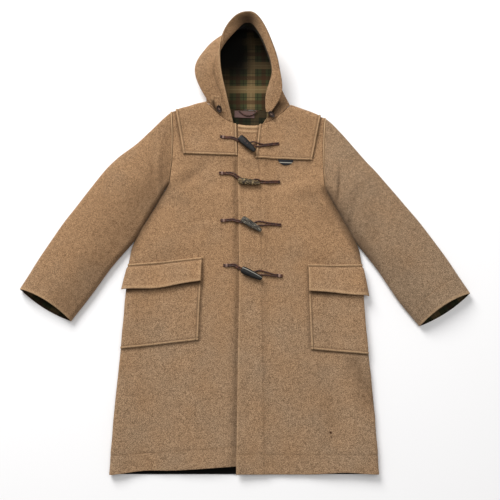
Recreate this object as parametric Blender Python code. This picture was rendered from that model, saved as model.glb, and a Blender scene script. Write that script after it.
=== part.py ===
"""A knee-length wool duffle coat laid flat on its back, front up.

+X is the wearer's left, +Y runs from hem to hood and +Z is up from the surface.
Each piece that is cut and sewn is one closed wall with its own object. The body is drawn
as a symmetrical pattern and then laid: its top leans and turns a little.
"""

import math

import bpy
import numpy as np

# ---------------------------------------------------------------- driving sizes, in metres
CLOTH = 0.0030  # double-faced wool
SEAM = 0.0003  # air left at a seam
LAYER = CLOTH + SEAM  # one cloth lying on another
HALF = CLOTH / 2
FOLD = 0.0075  # mid-wall radius where the body turns over at its sides and shoulders
SLEEVE_FOLD = 0.0090
SAG = 0.0085  # how far the front sinks between its folded edges
SAG_REACH = 0.085

HEM_Y = -0.6180
UNDERARM = (0.2285, 0.1900)
SHOULDER_TIP = (0.2265, 0.4110)
NECK_SIDE = (0.1260, 0.4450)
NECK_FRONT_Y = 0.3770
NECK_BACK_Y = 0.4300
NECK_CURVE = 2.2
ARMHOLE_BOW = 0.0050
ARMHOLE_GAP = 0.0016
UNDERARM_GAP = 0.0014  # extra, where the armhole meets the side

LEAN = 0.0100  # the upper coat lies this far to the wearer's left
TILT = 0.0450  # and turned by this slope
WARP_FROM_Y, WARP_TO_Y = -0.2500, 0.4500

UNDERLAP_X = 0.0440  # front edge of the wearer's right front, hidden below
LAP_LIFT = CLOTH + 0.0009
LAP_RAMP = 0.0240
YOKE_BOTTOM_Y = 0.2780
RIGHT_YOKE_Y, LEFT_YOKE_Y = 0.2815, 0.2750
YOKE_RAMP = 0.0250

EDGE_STITCH = 0.0070  # topstitching from a turned edge
STITCH_DEPTH = 0.0009
STITCH_HALF_WIDTH = 0.0024

# Half width of the body, by height on the coat.
SIDE_SECTIONS = [
    # y, half_width
    (-0.700, 0.3630),
    (-0.618, 0.3600),
    (-0.450, 0.3540),
    (-0.300, 0.3445),
    (-0.150, 0.3365),
    (-0.030, 0.3310),
    (0.010, 0.3230),
    (0.050, 0.3030),
    (0.100, 0.2760),
    (0.155, 0.2465),
    (0.190, 0.2285),
]

# Front edge of the wearer's left front, which lies on top.
LAP_EDGE = [
    # y, x
    (-0.618, -0.0216),
    (-0.300, -0.0180),
    (-0.100, -0.0162),
    (0.055, -0.0213),
    (0.250, -0.0280),
    (0.380, -0.0293),
]

# Columns of the body's grid, from the front edge out: where each one starts on the neckline
# or shoulder, where it crosses the yoke's lower edge, and its share of the width lower down.
LAP_COLUMNS = [
    # top_x, yoke_x, share
    (-0.0293, -0.0285, 0.000),
    (0.0060, 0.0020, 0.080),
    (0.0335, 0.0230, 0.150),
    (0.0405, 0.0300, 0.200),
    (0.0490, 0.0480, 0.250),
    (0.0740, 0.0720, 0.320),
    (0.1000, 0.1000, 0.420),
    (0.1260, 0.1260, 0.575),
    (0.1640, 0.1550, 0.710),
    (0.2010, 0.1760, 0.840),
    (0.2095, 0.1830, 0.920),
    (0.2165, 0.1900, 0.970),
]
UNDERLAP_COLUMNS = [
    # top_x, yoke_x, share
    (-0.0440, -0.0440, 0.000),
    (-0.0100, -0.0100, 0.100),
    (0.0220, 0.0200, 0.190),
    (0.0345, 0.0295, 0.225),
    (0.0415, 0.0365, 0.270),
    (0.0700, 0.0740, 0.360),
    (0.0960, 0.1020, 0.455),
    (0.1260, 0.1260, 0.590),
    (0.1640, 0.1550, 0.720),
    (0.2010, 0.1760, 0.850),
    (0.2095, 0.1830, 0.930),
    (0.2165, 0.1900, 0.975),
]
BACK_COLUMNS = [
    # top_x, yoke_x, share
    (0.0000, 0.0000, 0.000),
    (0.0600, 0.0700, 0.300),
    (0.1260, 0.1260, 0.650),
    (0.2165, 0.1900, 0.940),
]
EDGE_DISTANCES = (1.0, 0.33, 0.07, 0.0)  # columns in a folded edge, in fold radii from it
EDGE_TOP_X = (0.2190, 0.2215, 0.2240)

# Rows of the body's grid.
TOP_SHARES = [0.0, 0.005, 0.022, 0.056, 0.14, 0.32, 0.52, 0.74]
CHEST_YS = [0.2640, 0.2450, 0.2180, 0.1900]
RIGHT_LEVELS = [
    # y, rise: how much higher the row is at the front edge than at the side
    (0.1900, 0.0000),
    (0.1800, 0.0000),
    (0.1550, 0.0020),
    (0.1100, 0.0060),
    (0.0600, 0.0160),
    (0.0050, 0.0320),
    (-0.0480, 0.0430),
    (-0.0550, 0.0430),
    (-0.0950, 0.0430),
    (-0.1190, 0.0440),
    (-0.1900, 0.0440),
    (-0.2600, 0.0440),
    (-0.2770, 0.0440),
    (-0.2840, 0.0440),
    (-0.3600, 0.0420),
    (-0.4300, 0.0370),
    (-0.5000, 0.0320),
    (-0.5600, 0.0270),
    (-0.6180, 0.0260),
]
LEFT_LEVELS = [
    # y, rise
    (0.1900, 0.0000),
    (0.1800, 0.0000),
    (0.1550, 0.0000),
    (0.1100, 0.0000),
    (0.0600, 0.0010),
    (0.0100, 0.0010),
    (-0.0430, 0.0020),
    (-0.0500, 0.0020),
    (-0.0920, 0.0030),
    (-0.1240, 0.0040),
    (-0.1950, 0.0160),
    (-0.2700, 0.0320),
    (-0.2920, 0.0320),
    (-0.2990, 0.0320),
    (-0.3700, 0.0260),
    (-0.4350, 0.0180),
    (-0.5000, 0.0080),
    (-0.5600, 0.0020),
    (-0.6170, 0.0000),
]
BACK_LEVELS = [(y, 0.0) for y in (0.1900, 0.1550, 0.0600, -0.0600, -0.2000, -0.3400, -0.4800, -0.6165)]

# Soft folds of the fronts: a ridge (height above 0) or trough along a line.
FRONT_FOLDS = [
    # x0, y0, x1, y1, half_width, height
    (-0.200, 0.185, -0.105, 0.232, 0.024, 0.0040),
    (-0.215, 0.140, -0.130, 0.186, 0.022, -0.0022),
    (0.205, 0.180, 0.110, 0.215, 0.024, 0.0028),
    (0.205, 0.150, 0.262, 0.060, 0.024, -0.0026),
    (-0.235, 0.090, -0.215, -0.010, 0.028, 0.0022),
    (0.282, -0.330, 0.300, -0.600, 0.030, 0.0030),
    (0.226, -0.350, 0.230, -0.600, 0.026, -0.0016),
    (-0.270, -0.330, -0.292, -0.600, 0.034, 0.0026),
    (-0.160, -0.300, -0.150, -0.520, 0.034, 0.0018),
    (0.125, -0.120, 0.118, -0.420, 0.032, 0.0016),
]

# Where the front hems lift from the back.
HEM_LIFTS = [
    # x, half_width, height
    (-0.085, 0.065, 0.0080),
    (0.245, 0.080, 0.0070),
]
HEM_LIFT_FROM_Y = -0.480

# Patch pockets and their flaps, as blocks of the body's grid.
POCKET_LIFT = LAYER
FLAP_LIFT = 2 * LAYER
FLAP_GAPE = 0.0050  # a flap's lower edge stands this far off its pocket

# Sleeves as laid. An inner_x of None lies against the side of the body.
SLEEVE_COLUMNS = ("outer_x", "outer_y", "inner_x", "inner_y", "height")
RIGHT_SLEEVE = [
    (-0.2640, 0.3770, None, 0.1760, 0.0270),
    (-0.3180, 0.3220, None, 0.1540, 0.0310),
    (-0.3790, 0.2710, None, 0.1140, 0.0330),
    (-0.4210, 0.2220, None, 0.0740, 0.0330),
    (-0.4750, 0.1450, None, 0.0200, 0.0320),
    (-0.5270, 0.0700, -0.3780, -0.0520, 0.0320),
    (-0.5820, -0.0220, -0.4310, -0.1310, 0.0330),
    (-0.6350, -0.1180, -0.4850, -0.2060, 0.0370),
]
LEFT_SLEEVE = [
    (0.2730, 0.3680, None, 0.1640, 0.0270),
    (0.3120, 0.3220, None, 0.1400, 0.0310),
    (0.3510, 0.2720, None, 0.1060, 0.0330),
    (0.3940, 0.2210, None, 0.0700, 0.0330),
    (0.4520, 0.1470, None, 0.0200, 0.0320),
    (0.5080, 0.0740, 0.3780, -0.0600, 0.0320),
    (0.5710, -0.0200, 0.4340, -0.1490, 0.0330),
    (0.6370, -0.1300, 0.4890, -0.2200, 0.0380),
]
SIDE_GAP = 0.0026  # between a sleeve and the side it lies against
CUFF_TOP_BOW, CUFF_UNDER_BOW = -0.0120, 0.0090

# Soft drag lines across the upper sleeve: place across and along, half widths, lean, height.
SLEEVE_FOLDS = [
    # at_a, at_b, wide_a, wide_b, lean, height
    (0.55, 1.6, 0.30, 0.40, 1.6, 0.0035),
    (0.45, 3.1, 0.28, 0.45, -1.2, 0.0030),
    (0.60, 4.6, 0.30, 0.40, 1.4, -0.0030),
    (0.70, 5.8, 0.25, 0.45, -1.0, 0.0025),
]
SLEEVE_SHARES = [0.0, 0.006, 0.026, 0.070, 0.18, 0.34, 0.50, 0.66, 0.82, 0.93, 0.974, 0.994, 1.0]
SLEEVE_STATIONS = [0.0, 0.40, 0.90, 1.4, 2.1, 2.9, 3.8, 4.7, 5.6, 6.4, 7.2, 8.0]

# The hood as arches from neckline to neckline. Row by row they go from the face edge, over
# the outside and under to the back of the neck. An arch swells out by the four values in
# turn at the shares in HOOD_STATIONS of its way from neckline to crown; rise is its extra height.
HOOD_STATIONS = (0.0, 0.15, 0.32, 0.52, 0.78, 1.0)
HOOD_COLUMNS = ("run", "low", "middle", "high", "crown", "rise", "top_x", "top_y", "top_z")
RIGHT_HOOD = [
    (0.000, 0.0260, 0.0510, 0.0590, 0.0330, 0.0300, 0.0100, 0.7090, 0.0930),
    (0.115, 0.0390, 0.0770, 0.0520, 0.0140, 0.0350, 0.0090, 0.6850, 0.0520),
    (0.200, 0.0640, 0.1040, 0.0820, 0.0240, 0.0320, 0.0080, 0.6900, 0.0320),
    (0.320, 0.0560, 0.0920, 0.0780, 0.0320, 0.0190, 0.0070, 0.6960, 0.0130),
    (0.520, 0.0220, 0.0440, 0.0380, 0.0260, -0.0030, 0.0060, 0.6760, 0.0034),
    (0.760, 0.0060, 0.0120, 0.0120, 0.0080, -0.0010, 0.0060, 0.5800, 0.0017),
    (1.000, 0.0000, 0.0000, 0.0000, 0.0000, 0.0000, 0.0060, 0.4335, 0.0032),
]
LEFT_HOOD = [
    (0.000, 0.0600, 0.0630, 0.0460, 0.0210, 0.0360, 0.0100, 0.7090, 0.0930),
    (0.115, 0.0030, 0.0330, 0.0280, 0.0110, 0.0340, 0.0090, 0.6850, 0.0520),
    (0.200, 0.0040, 0.0240, 0.0200, 0.0090, 0.0220, 0.0080, 0.6900, 0.0320),
    (0.320, 0.0050, 0.0170, 0.0190, 0.0150, 0.0100, 0.0070, 0.6960, 0.0130),
    (0.520, -0.0040, 0.0030, 0.0100, 0.0130, -0.0030, 0.0060, 0.6760, 0.0034),
    (0.760, 0.0000, 0.0040, 0.0060, 0.0060, -0.0010, 0.0060, 0.5800, 0.0017),
    (1.000, 0.0000, 0.0000, 0.0000, 0.0000, 0.0000, 0.0060, 0.4335, 0.0032),
]
NECK_GAP = 0.0020
NECK_SIDE_GAP = 0.0064  # extra, where the hood rounds the top of the shoulder
HOOD_FRONT_X = 0.0440
HOOD_BACK_X = 0.0500
HOOD_NECK_SHARE = 0.58  # share of the hood's lower edge that is on the front neckline
NECK_SIDE_RUN = 0.61
HOOD_RISES = [0.0, 0.06, 0.15, 0.25, 0.36, 0.47, 0.58, 0.69, 0.80, 0.90, 0.96, 1.0]
HOOD_RUNS = [0.0, 0.06, 0.115, 0.20, 0.28, 0.36, 0.44, 0.52, 0.62, 0.80, 1.0]
FACING_RUNS = 3  # columns of the hood's grid that the facing takes
FACING_CLOTH = 0.0022

# Toggles, in pattern places.
TOGGLES = [
    # wide_x, wide_y, tip_x, tip_y
    (-0.0247, 0.3340, 0.0213, 0.2915),
    (-0.0266, 0.2010, 0.0384, 0.1955),
    (-0.0121, 0.0868, 0.0441, 0.0512),
    (-0.0101, -0.0610, 0.0479, -0.0887),
]
# Doubled thongs, from the sewn end to the turn under the toggle.
HOLDER_THONGS = [
    # (x, y, half the distance between the two strands)
    [
        (-0.0813, 0.3376, 0.0023),
        (-0.0630, 0.3353, 0.0023),
        (-0.0467, 0.3349, 0.0023),
        (-0.0302, 0.3282, 0.0023),
        (-0.0140, 0.3220, 0.0023),
    ],
    [
        (-0.0825, 0.2261, 0.0023),
        (-0.0655, 0.2257, 0.0023),
        (-0.0510, 0.2265, 0.0023),
        (-0.0379, 0.2219, 0.0026),
        (-0.0264, 0.2135, 0.0030),
        (-0.0150, 0.2050, 0.0030),
    ],
    [
        (-0.0733, 0.0823, 0.0023),
        (-0.0566, 0.0835, 0.0023),
        (-0.0408, 0.0852, 0.0023),
        (-0.0232, 0.0812, 0.0023),
        (-0.0040, 0.0780, 0.0023),
    ],
    [
        (-0.0616, -0.0485, 0.0023),
        (-0.0467, -0.0484, 0.0023),
        (-0.0311, -0.0475, 0.0023),
        (-0.0184, -0.0553, 0.0023),
        (-0.0041, -0.0632, 0.0023),
    ],
]
LOOP_THONGS = [
    [
        (0.0911, 0.3222, 0.0023),
        (0.0692, 0.3184, 0.0023),
        (0.0464, 0.3142, 0.0024),
        (0.0301, 0.3145, 0.0049),
        (0.0160, 0.3180, 0.0056),
        (0.0050, 0.3150, 0.0040),
    ],
    [
        (0.0946, 0.2048, 0.0023),
        (0.0721, 0.2037, 0.0023),
        (0.0560, 0.2017, 0.0024),
        (0.0398, 0.2024, 0.0034),
        (0.0269, 0.2049, 0.0050),
        (0.0160, 0.2020, 0.0040),
    ],
    [
        (0.0993, 0.0718, 0.0023),
        (0.0819, 0.0732, 0.0023),
        (0.0659, 0.0744, 0.0026),
        (0.0500, 0.0748, 0.0050),
        (0.0341, 0.0750, 0.0060),
        (0.0220, 0.0715, 0.0040),
    ],
    [
        (0.1054, -0.0779, 0.0023),
        (0.0929, -0.0768, 0.0023),
        (0.0804, -0.0758, 0.0024),
        (0.0601, -0.0721, 0.0042),
        (0.0412, -0.0692, 0.0060),
        (0.0260, -0.0715, 0.0040),
    ],
]
TOGGLE_SECTIONS = [
    # share, half_width, half_height
    (0.000, 0.0058, 0.0030),
    (0.045, 0.0082, 0.0048),
    (0.250, 0.0088, 0.0056),
    (0.500, 0.0084, 0.0056),
    (0.800, 0.0064, 0.0046),
    (0.965, 0.0046, 0.0034),
    (1.000, 0.0030, 0.0020),
]
TOGGLE_HALF_HEIGHT = 0.0056
TOGGLE_SIDES = 10
THONG_RADIUS = 0.0019
THONG_REACH_X, THONG_REACH_Y = (-0.010, -0.005, 0.0, 0.005, 0.010), (-0.004, 0.0, 0.004)  # it lies over
THONG_SIDES = 6

LABEL_SIZE = (0.0450, 0.0160)
LABEL_PLACE = (0.1125, 0.2742)
LABEL_ROUNDING = 0.75  # how much shorter its ends are than its middle
LABEL_CLOTH, LABEL_GAP = 0.0012, 0.0006
NECK_LABEL_SIZE = (0.0600, 0.0220)
NECK_LABEL_PLACE = (-0.0110, 0.4265)
HANGER_SPAN, HANGER_DIP, HANGER_RADIUS = 0.0540, 0.0150, 0.0018
HANGER_PLACE = (-0.0010, 0.4260)
# Throat tabs and buttons, by (rise, run) places on the hood: where a tab starts and ends, its
# half width, its button's place and the button's lean from +Y towards -X.
HOOD_TABS = {
    "right": ((0.150, 0.120), (0.048, 0.158), (0.000, 0.040), (0.062, 0.160), 13.0),
    "left": ((0.080, 0.460), (0.046, 0.240), (0.020, 0.000), (0.032, 0.180), 50.0),
}
TAB_SHARES = (0.0, 0.12, 0.30, 0.50, 0.70, 0.88, 1.0)
TAB_END_SHARE = 0.7  # a tab's rounded ends are this share of its width
TAB_GAP = 0.0008
BUTTON_HALF_WIDTH, BUTTON_HALF_LENGTH, BUTTON_THICKNESS = 0.0078, 0.0118, 0.0036
BUTTON_SECTIONS = [
    # depth, share of the full size
    (0.00, 0.82),
    (0.28, 1.00),
    (0.72, 1.00),
    (1.00, 0.78),
]
BUTTON_SIDES = 14

COLOURS = {
    "wool": (0.46, 0.32, 0.20),
    "check": (0.22, 0.22, 0.12),
    "leather": (0.10, 0.035, 0.025),
    "horn": (0.06, 0.06, 0.055),
    "label": (0.015, 0.015, 0.017),
    "tape": (0.50, 0.42, 0.38),
}


# ---------------------------------------------------------------- numbers and curves
def smooth_step(t):
    t = np.clip(t, 0.0, 1.0)
    return t * t * (3.0 - 2.0 * t)


def through(knots, values, at):
    """A smooth curve through (knot, value) pairs, with cubic pieces."""
    knots = np.asarray(knots, float)
    values = np.asarray(values, float)
    at = np.clip(np.asarray(at, float), knots[0], knots[-1])
    slopes = np.gradient(values, knots)
    i = np.clip(np.searchsorted(knots, at, side="right") - 1, 0, len(knots) - 2)
    span = knots[i + 1] - knots[i]
    t = (at - knots[i]) / span
    return (
        (2 * t**3 - 3 * t**2 + 1) * values[i]
        + (t**3 - 2 * t**2 + t) * span * slopes[i]
        + (3 * t**2 - 2 * t**3) * values[i + 1]
        + (t**3 - t**2) * span * slopes[i + 1]
    )


def column(rows, columns, name):
    return [row[columns.index(name)] for row in rows]


def quarter_turn(t):
    """Height of a quarter circle, 0 to 1, at a share t of its radius from the edge."""
    return np.sqrt(np.clip(1.0 - (1.0 - np.clip(t, 0.0, 1.0)) ** 2, 0.0, 1.0))


def from_segment(x, y, x0, y0, x1, y1):
    """Distance of points from a segment, and their share along it."""
    dx, dy = x1 - x0, y1 - y0
    share = np.clip(((x - x0) * dx + (y - y0) * dy) / (dx * dx + dy * dy), 0.0, 1.0)
    return np.hypot(x - x0 - share * dx, y - y0 - share * dy), share


# ---------------------------------------------------------------- the pattern, before it is laid
def side_x(y):
    return through([r[0] for r in SIDE_SECTIONS], [r[1] for r in SIDE_SECTIONS], y)


SIDE_LINE = [(float(side_x(y)) - HALF, float(y)) for y in np.linspace(UNDERARM[1], -0.70, 48)]


def armhole_x(y):
    middle = (SHOULDER_TIP[1] + UNDERARM[1]) / 2
    half = (SHOULDER_TIP[1] - UNDERARM[1]) / 2
    return UNDERARM[0] - HALF - ARMHOLE_BOW * (1.0 - ((y - middle) / half) ** 2)


def edge_x(y):
    """Mid-wall of the body's outer edge: the armhole and then the side."""
    return np.where(y > UNDERARM[1], armhole_x(y), side_x(y) - HALF)


def neck_y(x):
    """The front neckline."""
    share = np.clip(np.abs(x) / NECK_SIDE[0], 0.0, 1.0)
    return NECK_FRONT_Y + (NECK_SIDE[1] - NECK_FRONT_Y) * share**NECK_CURVE


def back_neck_y(x):
    share = np.clip(np.abs(x) / NECK_SIDE[0], 0.0, 1.0)
    return NECK_BACK_Y + (NECK_SIDE[1] - NECK_BACK_Y) * share**2


def shoulder_y(x):
    share = (x - NECK_SIDE[0]) / (SHOULDER_TIP[0] - NECK_SIDE[0])
    return NECK_SIDE[1] + (SHOULDER_TIP[1] - NECK_SIDE[1]) * share


def laid(points):
    """Moves pattern points to where the laid coat has them: its top leans and turns a little."""
    points = np.array(points, float)
    x, y = points[..., 0], points[..., 1]
    share = smooth_step((y - WARP_FROM_Y) / (WARP_TO_Y - WARP_FROM_Y))
    moved = points.copy()
    moved[..., 0] = x + LEAN * share
    moved[..., 1] = y - TILT * x * share
    return moved


# ---------------------------------------------------------------- heights of the cloth
def from_side(x, y):
    """Distance from the folded side, which runs from underarm to hem."""
    x = np.abs(x)
    nearest = np.full(np.broadcast(x, y).shape, 1.0)
    for (x0, y0), (x1, y1) in zip(SIDE_LINE[:-1], SIDE_LINE[1:]):
        nearest = np.minimum(nearest, from_segment(x, y, x0, y0, x1, y1)[0])
    return nearest


def from_shoulder(x, y):
    return from_segment(np.abs(x), y, *NECK_SIDE, *SHOULDER_TIP)[0]


def floor_z(y):
    """Mid-wall height of the back panel: it lies on the yoke's back, and then on the surface."""
    start = YOKE_BOTTOM_Y - 0.004 - YOKE_RAMP
    return HALF + LAYER * smooth_step((y - start) / YOKE_RAMP)


def turned(x, y):
    """0 on a folded edge and 1 inside it."""
    return quarter_turn(from_side(x, y) / FOLD) * quarter_turn(from_shoulder(x, y) / FOLD)


def back_z(x, y):
    return floor_z(y) + FOLD * (1.0 - turned(x, y))


def front_z(x, y):
    """Mid-wall height of the fronts, without the lap."""
    inside = np.minimum(from_side(x, y), from_shoulder(x, y))
    height = 2 * FOLD - SAG * smooth_step((inside - FOLD) / SAG_REACH)
    for x0, y0, x1, y1, half_width, fold in FRONT_FOLDS:
        distance, share = from_segment(x, y, x0, y0, x1, y1)
        fade = np.sin(math.pi * np.clip(0.12 + 0.76 * share, 0, 1))
        height = height + fold * fade * np.exp(-((distance / half_width) ** 2)) * smooth_step(inside / 0.03)
    near_hem = smooth_step((HEM_LIFT_FROM_Y - y) / (HEM_LIFT_FROM_Y - HEM_Y))
    for centre, half_width, lift in HEM_LIFTS:
        height = height + lift * near_hem * np.exp(-(((x - centre) / half_width) ** 2))
    return floor_z(y) + SEAM + FOLD + (height - FOLD) * turned(x, y)


def lap_z(x, y):
    """Mid-wall height of the wearer's left front, which laps over the right one."""
    over = 1.0 - smooth_step((x - UNDERLAP_X - 0.002) / LAP_RAMP)
    return front_z(x, y) + LAP_LIFT * over


def below(height):
    """The same height field seen from underneath, so that moving out moves down."""
    return lambda x, y: -height(x, y)


def moved_out(height, x, y, amount):
    """Points of a height field at (x, y), moved along its normal by amount."""
    step = 4e-6
    x_in = x - 1.5 * step * np.sign(x)
    y_in = y - 1.5 * step * np.sign(y - YOKE_BOTTOM_Y)
    here = height(x, y)
    slope_x = (height(x_in + step / 2, y_in) - height(x_in - step / 2, y_in)) / step
    slope_y = (height(x_in, y_in + step / 2) - height(x_in, y_in - step / 2)) / step
    normal = np.stack([-slope_x, -slope_y, np.ones_like(slope_x)], axis=-1)
    normal /= np.linalg.norm(normal, axis=-1, keepdims=True)
    points = np.stack([x, y, here], axis=-1)
    return points + normal * np.asarray(amount)[..., None]


# ---------------------------------------------------------------- meshes
def material_of(name):
    material = bpy.data.materials.get(name)
    if material is None:
        material = bpy.data.materials.new(name)
        material.use_nodes = True
        shader = material.node_tree.nodes["Principled BSDF"]
        shader.inputs["Base Color"].default_value = (*COLOURS[name], 1.0)
        shader.inputs["Roughness"].default_value = 0.45 if name in ("leather", "horn") else 0.95
        shader.inputs["Metallic"].default_value = 0.0
    return material


def add_object(name, points, faces, material):
    """Adds a closed mesh, turned so that its faces point out."""
    points = np.asarray(points, float)
    volume = 0.0
    for face in faces:
        for i in range(1, len(face) - 1):
            volume += np.dot(points[face[0]], np.cross(points[face[i]], points[face[i + 1]]))
    if volume < 0:
        faces = [tuple(reversed(face)) for face in faces]
    mesh = bpy.data.meshes.new(name)
    mesh.from_pydata([tuple(p) for p in points], [], faces)
    mesh.materials.append(material_of(material))
    mesh.shade_smooth()
    obj = bpy.data.objects.new(name, mesh)
    bpy.context.scene.collection.objects.link(obj)
    return obj


def add_wall(name, outer, inner, material):
    """Closes two matching grids of points into one wall of triangles."""
    rows, columns = outer.shape[:2]
    count = rows * columns

    def at(r, c, side):
        return side * count + r * columns + c

    faces = []
    for r in range(rows - 1):
        for c in range(columns - 1):
            for side, order in ((0, 1), (1, -1)):
                corners = [at(r, c, side), at(r, c + 1, side), at(r + 1, c + 1, side), at(r + 1, c, side)]
                faces.append(tuple([corners[0], corners[1], corners[2]][::order]))
                faces.append(tuple([corners[0], corners[2], corners[3]][::order]))
    rim = [(0, c) for c in range(columns)]
    rim += [(r, columns - 1) for r in range(1, rows)]
    rim += [(rows - 1, c) for c in range(columns - 2, -1, -1)]
    rim += [(r, 0) for r in range(rows - 2, 0, -1)]
    for (r0, c0), (r1, c1) in zip(rim, rim[1:] + rim[:1]):
        faces.append((at(r1, c1, 0), at(r0, c0, 0), at(r0, c0, 1)))
        faces.append((at(r1, c1, 0), at(r0, c0, 1), at(r1, c1, 1)))
    points = np.concatenate([outer.reshape(-1, 3), inner.reshape(-1, 3)])
    return add_object(name, points, faces, material)


def add_rings(name, rings, material):
    """Closes a stack of rings of points, with flat ends."""
    sides = len(rings[0])
    faces = []
    for r in range(len(rings) - 1):
        for i in range(sides):
            j = (i + 1) % sides
            low, high = r * sides, (r + 1) * sides
            faces.append((low + i, low + j, high + j, high + i))
    last = (len(rings) - 1) * sides
    faces.append(tuple(range(sides))[::-1])
    faces.append(tuple(range(last, last + sides)))
    return add_object(name, np.concatenate(rings), faces, material)


def add_tube(name, route, radius, sides, material):
    """A round cord along a route of points."""
    route = np.asarray(route, float)
    along = np.gradient(route, axis=0)
    along /= np.linalg.norm(along, axis=1, keepdims=True)
    rings = []
    across = np.cross(along[0], (0.0, 0.0, 1.0))
    for point, forward in zip(route, along):
        across = across - forward * np.dot(across, forward)
        across /= np.linalg.norm(across)
        up = np.cross(across, forward)
        angles = 2 * math.pi * np.arange(sides) / sides
        ring = point + radius * (np.cos(angles)[:, None] * across + np.sin(angles)[:, None] * up)
        rings.append(ring)
    return add_rings(name, rings, material)


def add_on(name, grid, height, lift, material="wool", relief=0.0, cloth=CLOTH):
    """A wall that follows a height field, its mid-wall lift above it. relief changes its outer face."""
    x, y = grid[..., 0], grid[..., 1]
    lift = np.broadcast_to(lift, x.shape)
    outer = moved_out(height, x, y, lift + cloth / 2 + relief)
    inner = moved_out(height, x, y, lift - cloth / 2)
    return add_wall(name, laid(outer), laid(inner), material)


def add_under(name, grid, height, lift, material="wool"):
    """The same for a wall whose outer face looks down at the surface."""
    x, y = grid[..., 0], grid[..., 1]
    outer = moved_out(below(height), x, y, np.full(x.shape, lift + HALF))
    inner = moved_out(below(height), x, y, np.full(x.shape, lift - HALF))
    for face in (outer, inner):
        face[..., 2] *= -1
    outer[..., 2] = np.maximum(outer[..., 2], 0.0)
    return add_wall(name, laid(outer), laid(inner), material)


# ---------------------------------------------------------------- body
def stitched(distance):
    """How deep the topstitching pulls the cloth in, at a distance from its turned edge."""
    return STITCH_DEPTH * np.exp(-(((distance - EDGE_STITCH) / STITCH_HALF_WIDTH) ** 2))


def lap_edge_x(y):
    return through([row[0] for row in LAP_EDGE], [row[1] for row in LAP_EDGE], y)


def yoke_shares():
    length = SHOULDER_TIP[1] - YOKE_BOTTOM_Y
    stitch = EDGE_STITCH / length
    return [*TOP_SHARES, 1 - 2.1 * stitch, 1 - stitch, 1.0]


def body_grid(columns, levels, neck, yoke_y=YOKE_BOTTOM_Y, edge=None):
    """Rows from neck and shoulder to hem, and columns from the front edge to the side, for +X."""
    edge_at = edge or (lambda y: columns[0][0])
    shares = [share for _, _, share in columns]
    top_xs = [x for x, _, _ in columns] + [*EDGE_TOP_X, float(edge_x(SHOULDER_TIP[1]))]
    yoke_edge = float(edge_x(yoke_y))
    chest_fold = [yoke_edge - FOLD * d for d in EDGE_DISTANCES]
    yoke_xs = [x for _, x, _ in columns] + chest_fold
    rows = []
    for share in yoke_shares():
        row = []
        for top_x, yoke_x in zip(top_xs, yoke_xs):
            top_y = float(neck(top_x)) if top_x < NECK_SIDE[0] else float(shoulder_y(top_x))
            y = top_y + (yoke_y - top_y) * share
            x = top_x + (yoke_x - top_x) * share
            row.append((x, y))
        row[-1] = (float(edge_x(row[-1][1])), row[-1][1])
        rows.append(row)

    def lower_row(y, rise, blend):
        side = float(edge_x(y))
        edge = float(edge_at(y))
        row = []
        for share, yoke_x in zip(shares, yoke_xs):
            low_x = edge + share * (side - FOLD - edge)
            row.append((yoke_x + (low_x - yoke_x) * blend, y + rise * (1.0 - share)))
        row += [(side - FOLD * d, y) for d in EDGE_DISTANCES]
        return row

    for y in CHEST_YS[:-1]:
        blend = (yoke_y - y) / (yoke_y - UNDERARM[1])
        rows.append(lower_row(y, 0.0, blend))
    rows += [lower_row(y, rise, 1.0) for y, rise in levels]
    return np.array(rows)


class Front:
    """One front with everything sewn on it, all on the same grid."""

    def __init__(self, side, columns, levels, height, yoke_y, edge=None):
        self.side = side
        self.height = height
        self.yoke_y = yoke_y
        self.grid = body_grid(columns, levels, neck_y, yoke_y, edge)
        self.grid[..., 0] *= side
        self.columns = columns
        self.first_level = len(yoke_shares()) + len(CHEST_YS) - 1
        self.levels = levels

    def row_of(self, y):
        """The grid's row at a level of the table."""
        return self.first_level + [level[0] for level in self.levels].index(y)

    def column_of(self, share):
        return [c[2] for c in self.columns].index(share)

    def local(self, grid):
        return np.abs(grid[..., 0]) if self.side < 0 else grid[..., 0]

    def add_panel(self, name):
        add_on(name, self.grid, self.height, 0.0)

    def add_yoke(self, name, edge_top_x):
        first = [c[0] for c in self.columns].index(edge_top_x)
        grid = self.grid[: len(yoke_shares()), first : len(self.columns)]
        x, y = self.local(grid), grid[..., 1]
        front = x[:, :1]
        outer = x[:, -1:]
        relief = -stitched(x - front) - stitched(outer - x) - stitched(y - self.yoke_y)
        add_on(name, grid, self.height, LAYER, relief=relief)

    def add_pocket(self, name, share, top, bottom, material="wool"):
        first = self.column_of(share)
        last = len(self.columns) + 1
        grid = self.grid[self.row_of(top) : self.row_of(bottom) + 1, first : last + 1].copy()
        x, y = self.local(grid), grid[..., 1]
        low = y[-1:, :]
        relief = -stitched(x - x[:, :1]) - stitched(y - low)
        add_on(name, grid, self.height, POCKET_LIFT, material, relief=relief)

    def add_flap(self, name, share, top, bottom):
        first = self.column_of(share)
        last = len(self.columns) + 1
        grid = self.grid[self.row_of(top) : self.row_of(bottom) + 1, first : last + 1].copy()
        y = grid[..., 1]
        down = (y[:1, :] - y) / (y[:1, :] - y[-1:, :])
        lift = FLAP_LIFT + FLAP_GAPE * smooth_step(down)
        lift[:2] = LAYER  # sewn to the front, above its pocket
        relief = -stitched(y[:1, :] - y)
        add_on(name, grid, self.height, lift, relief=relief)


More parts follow.
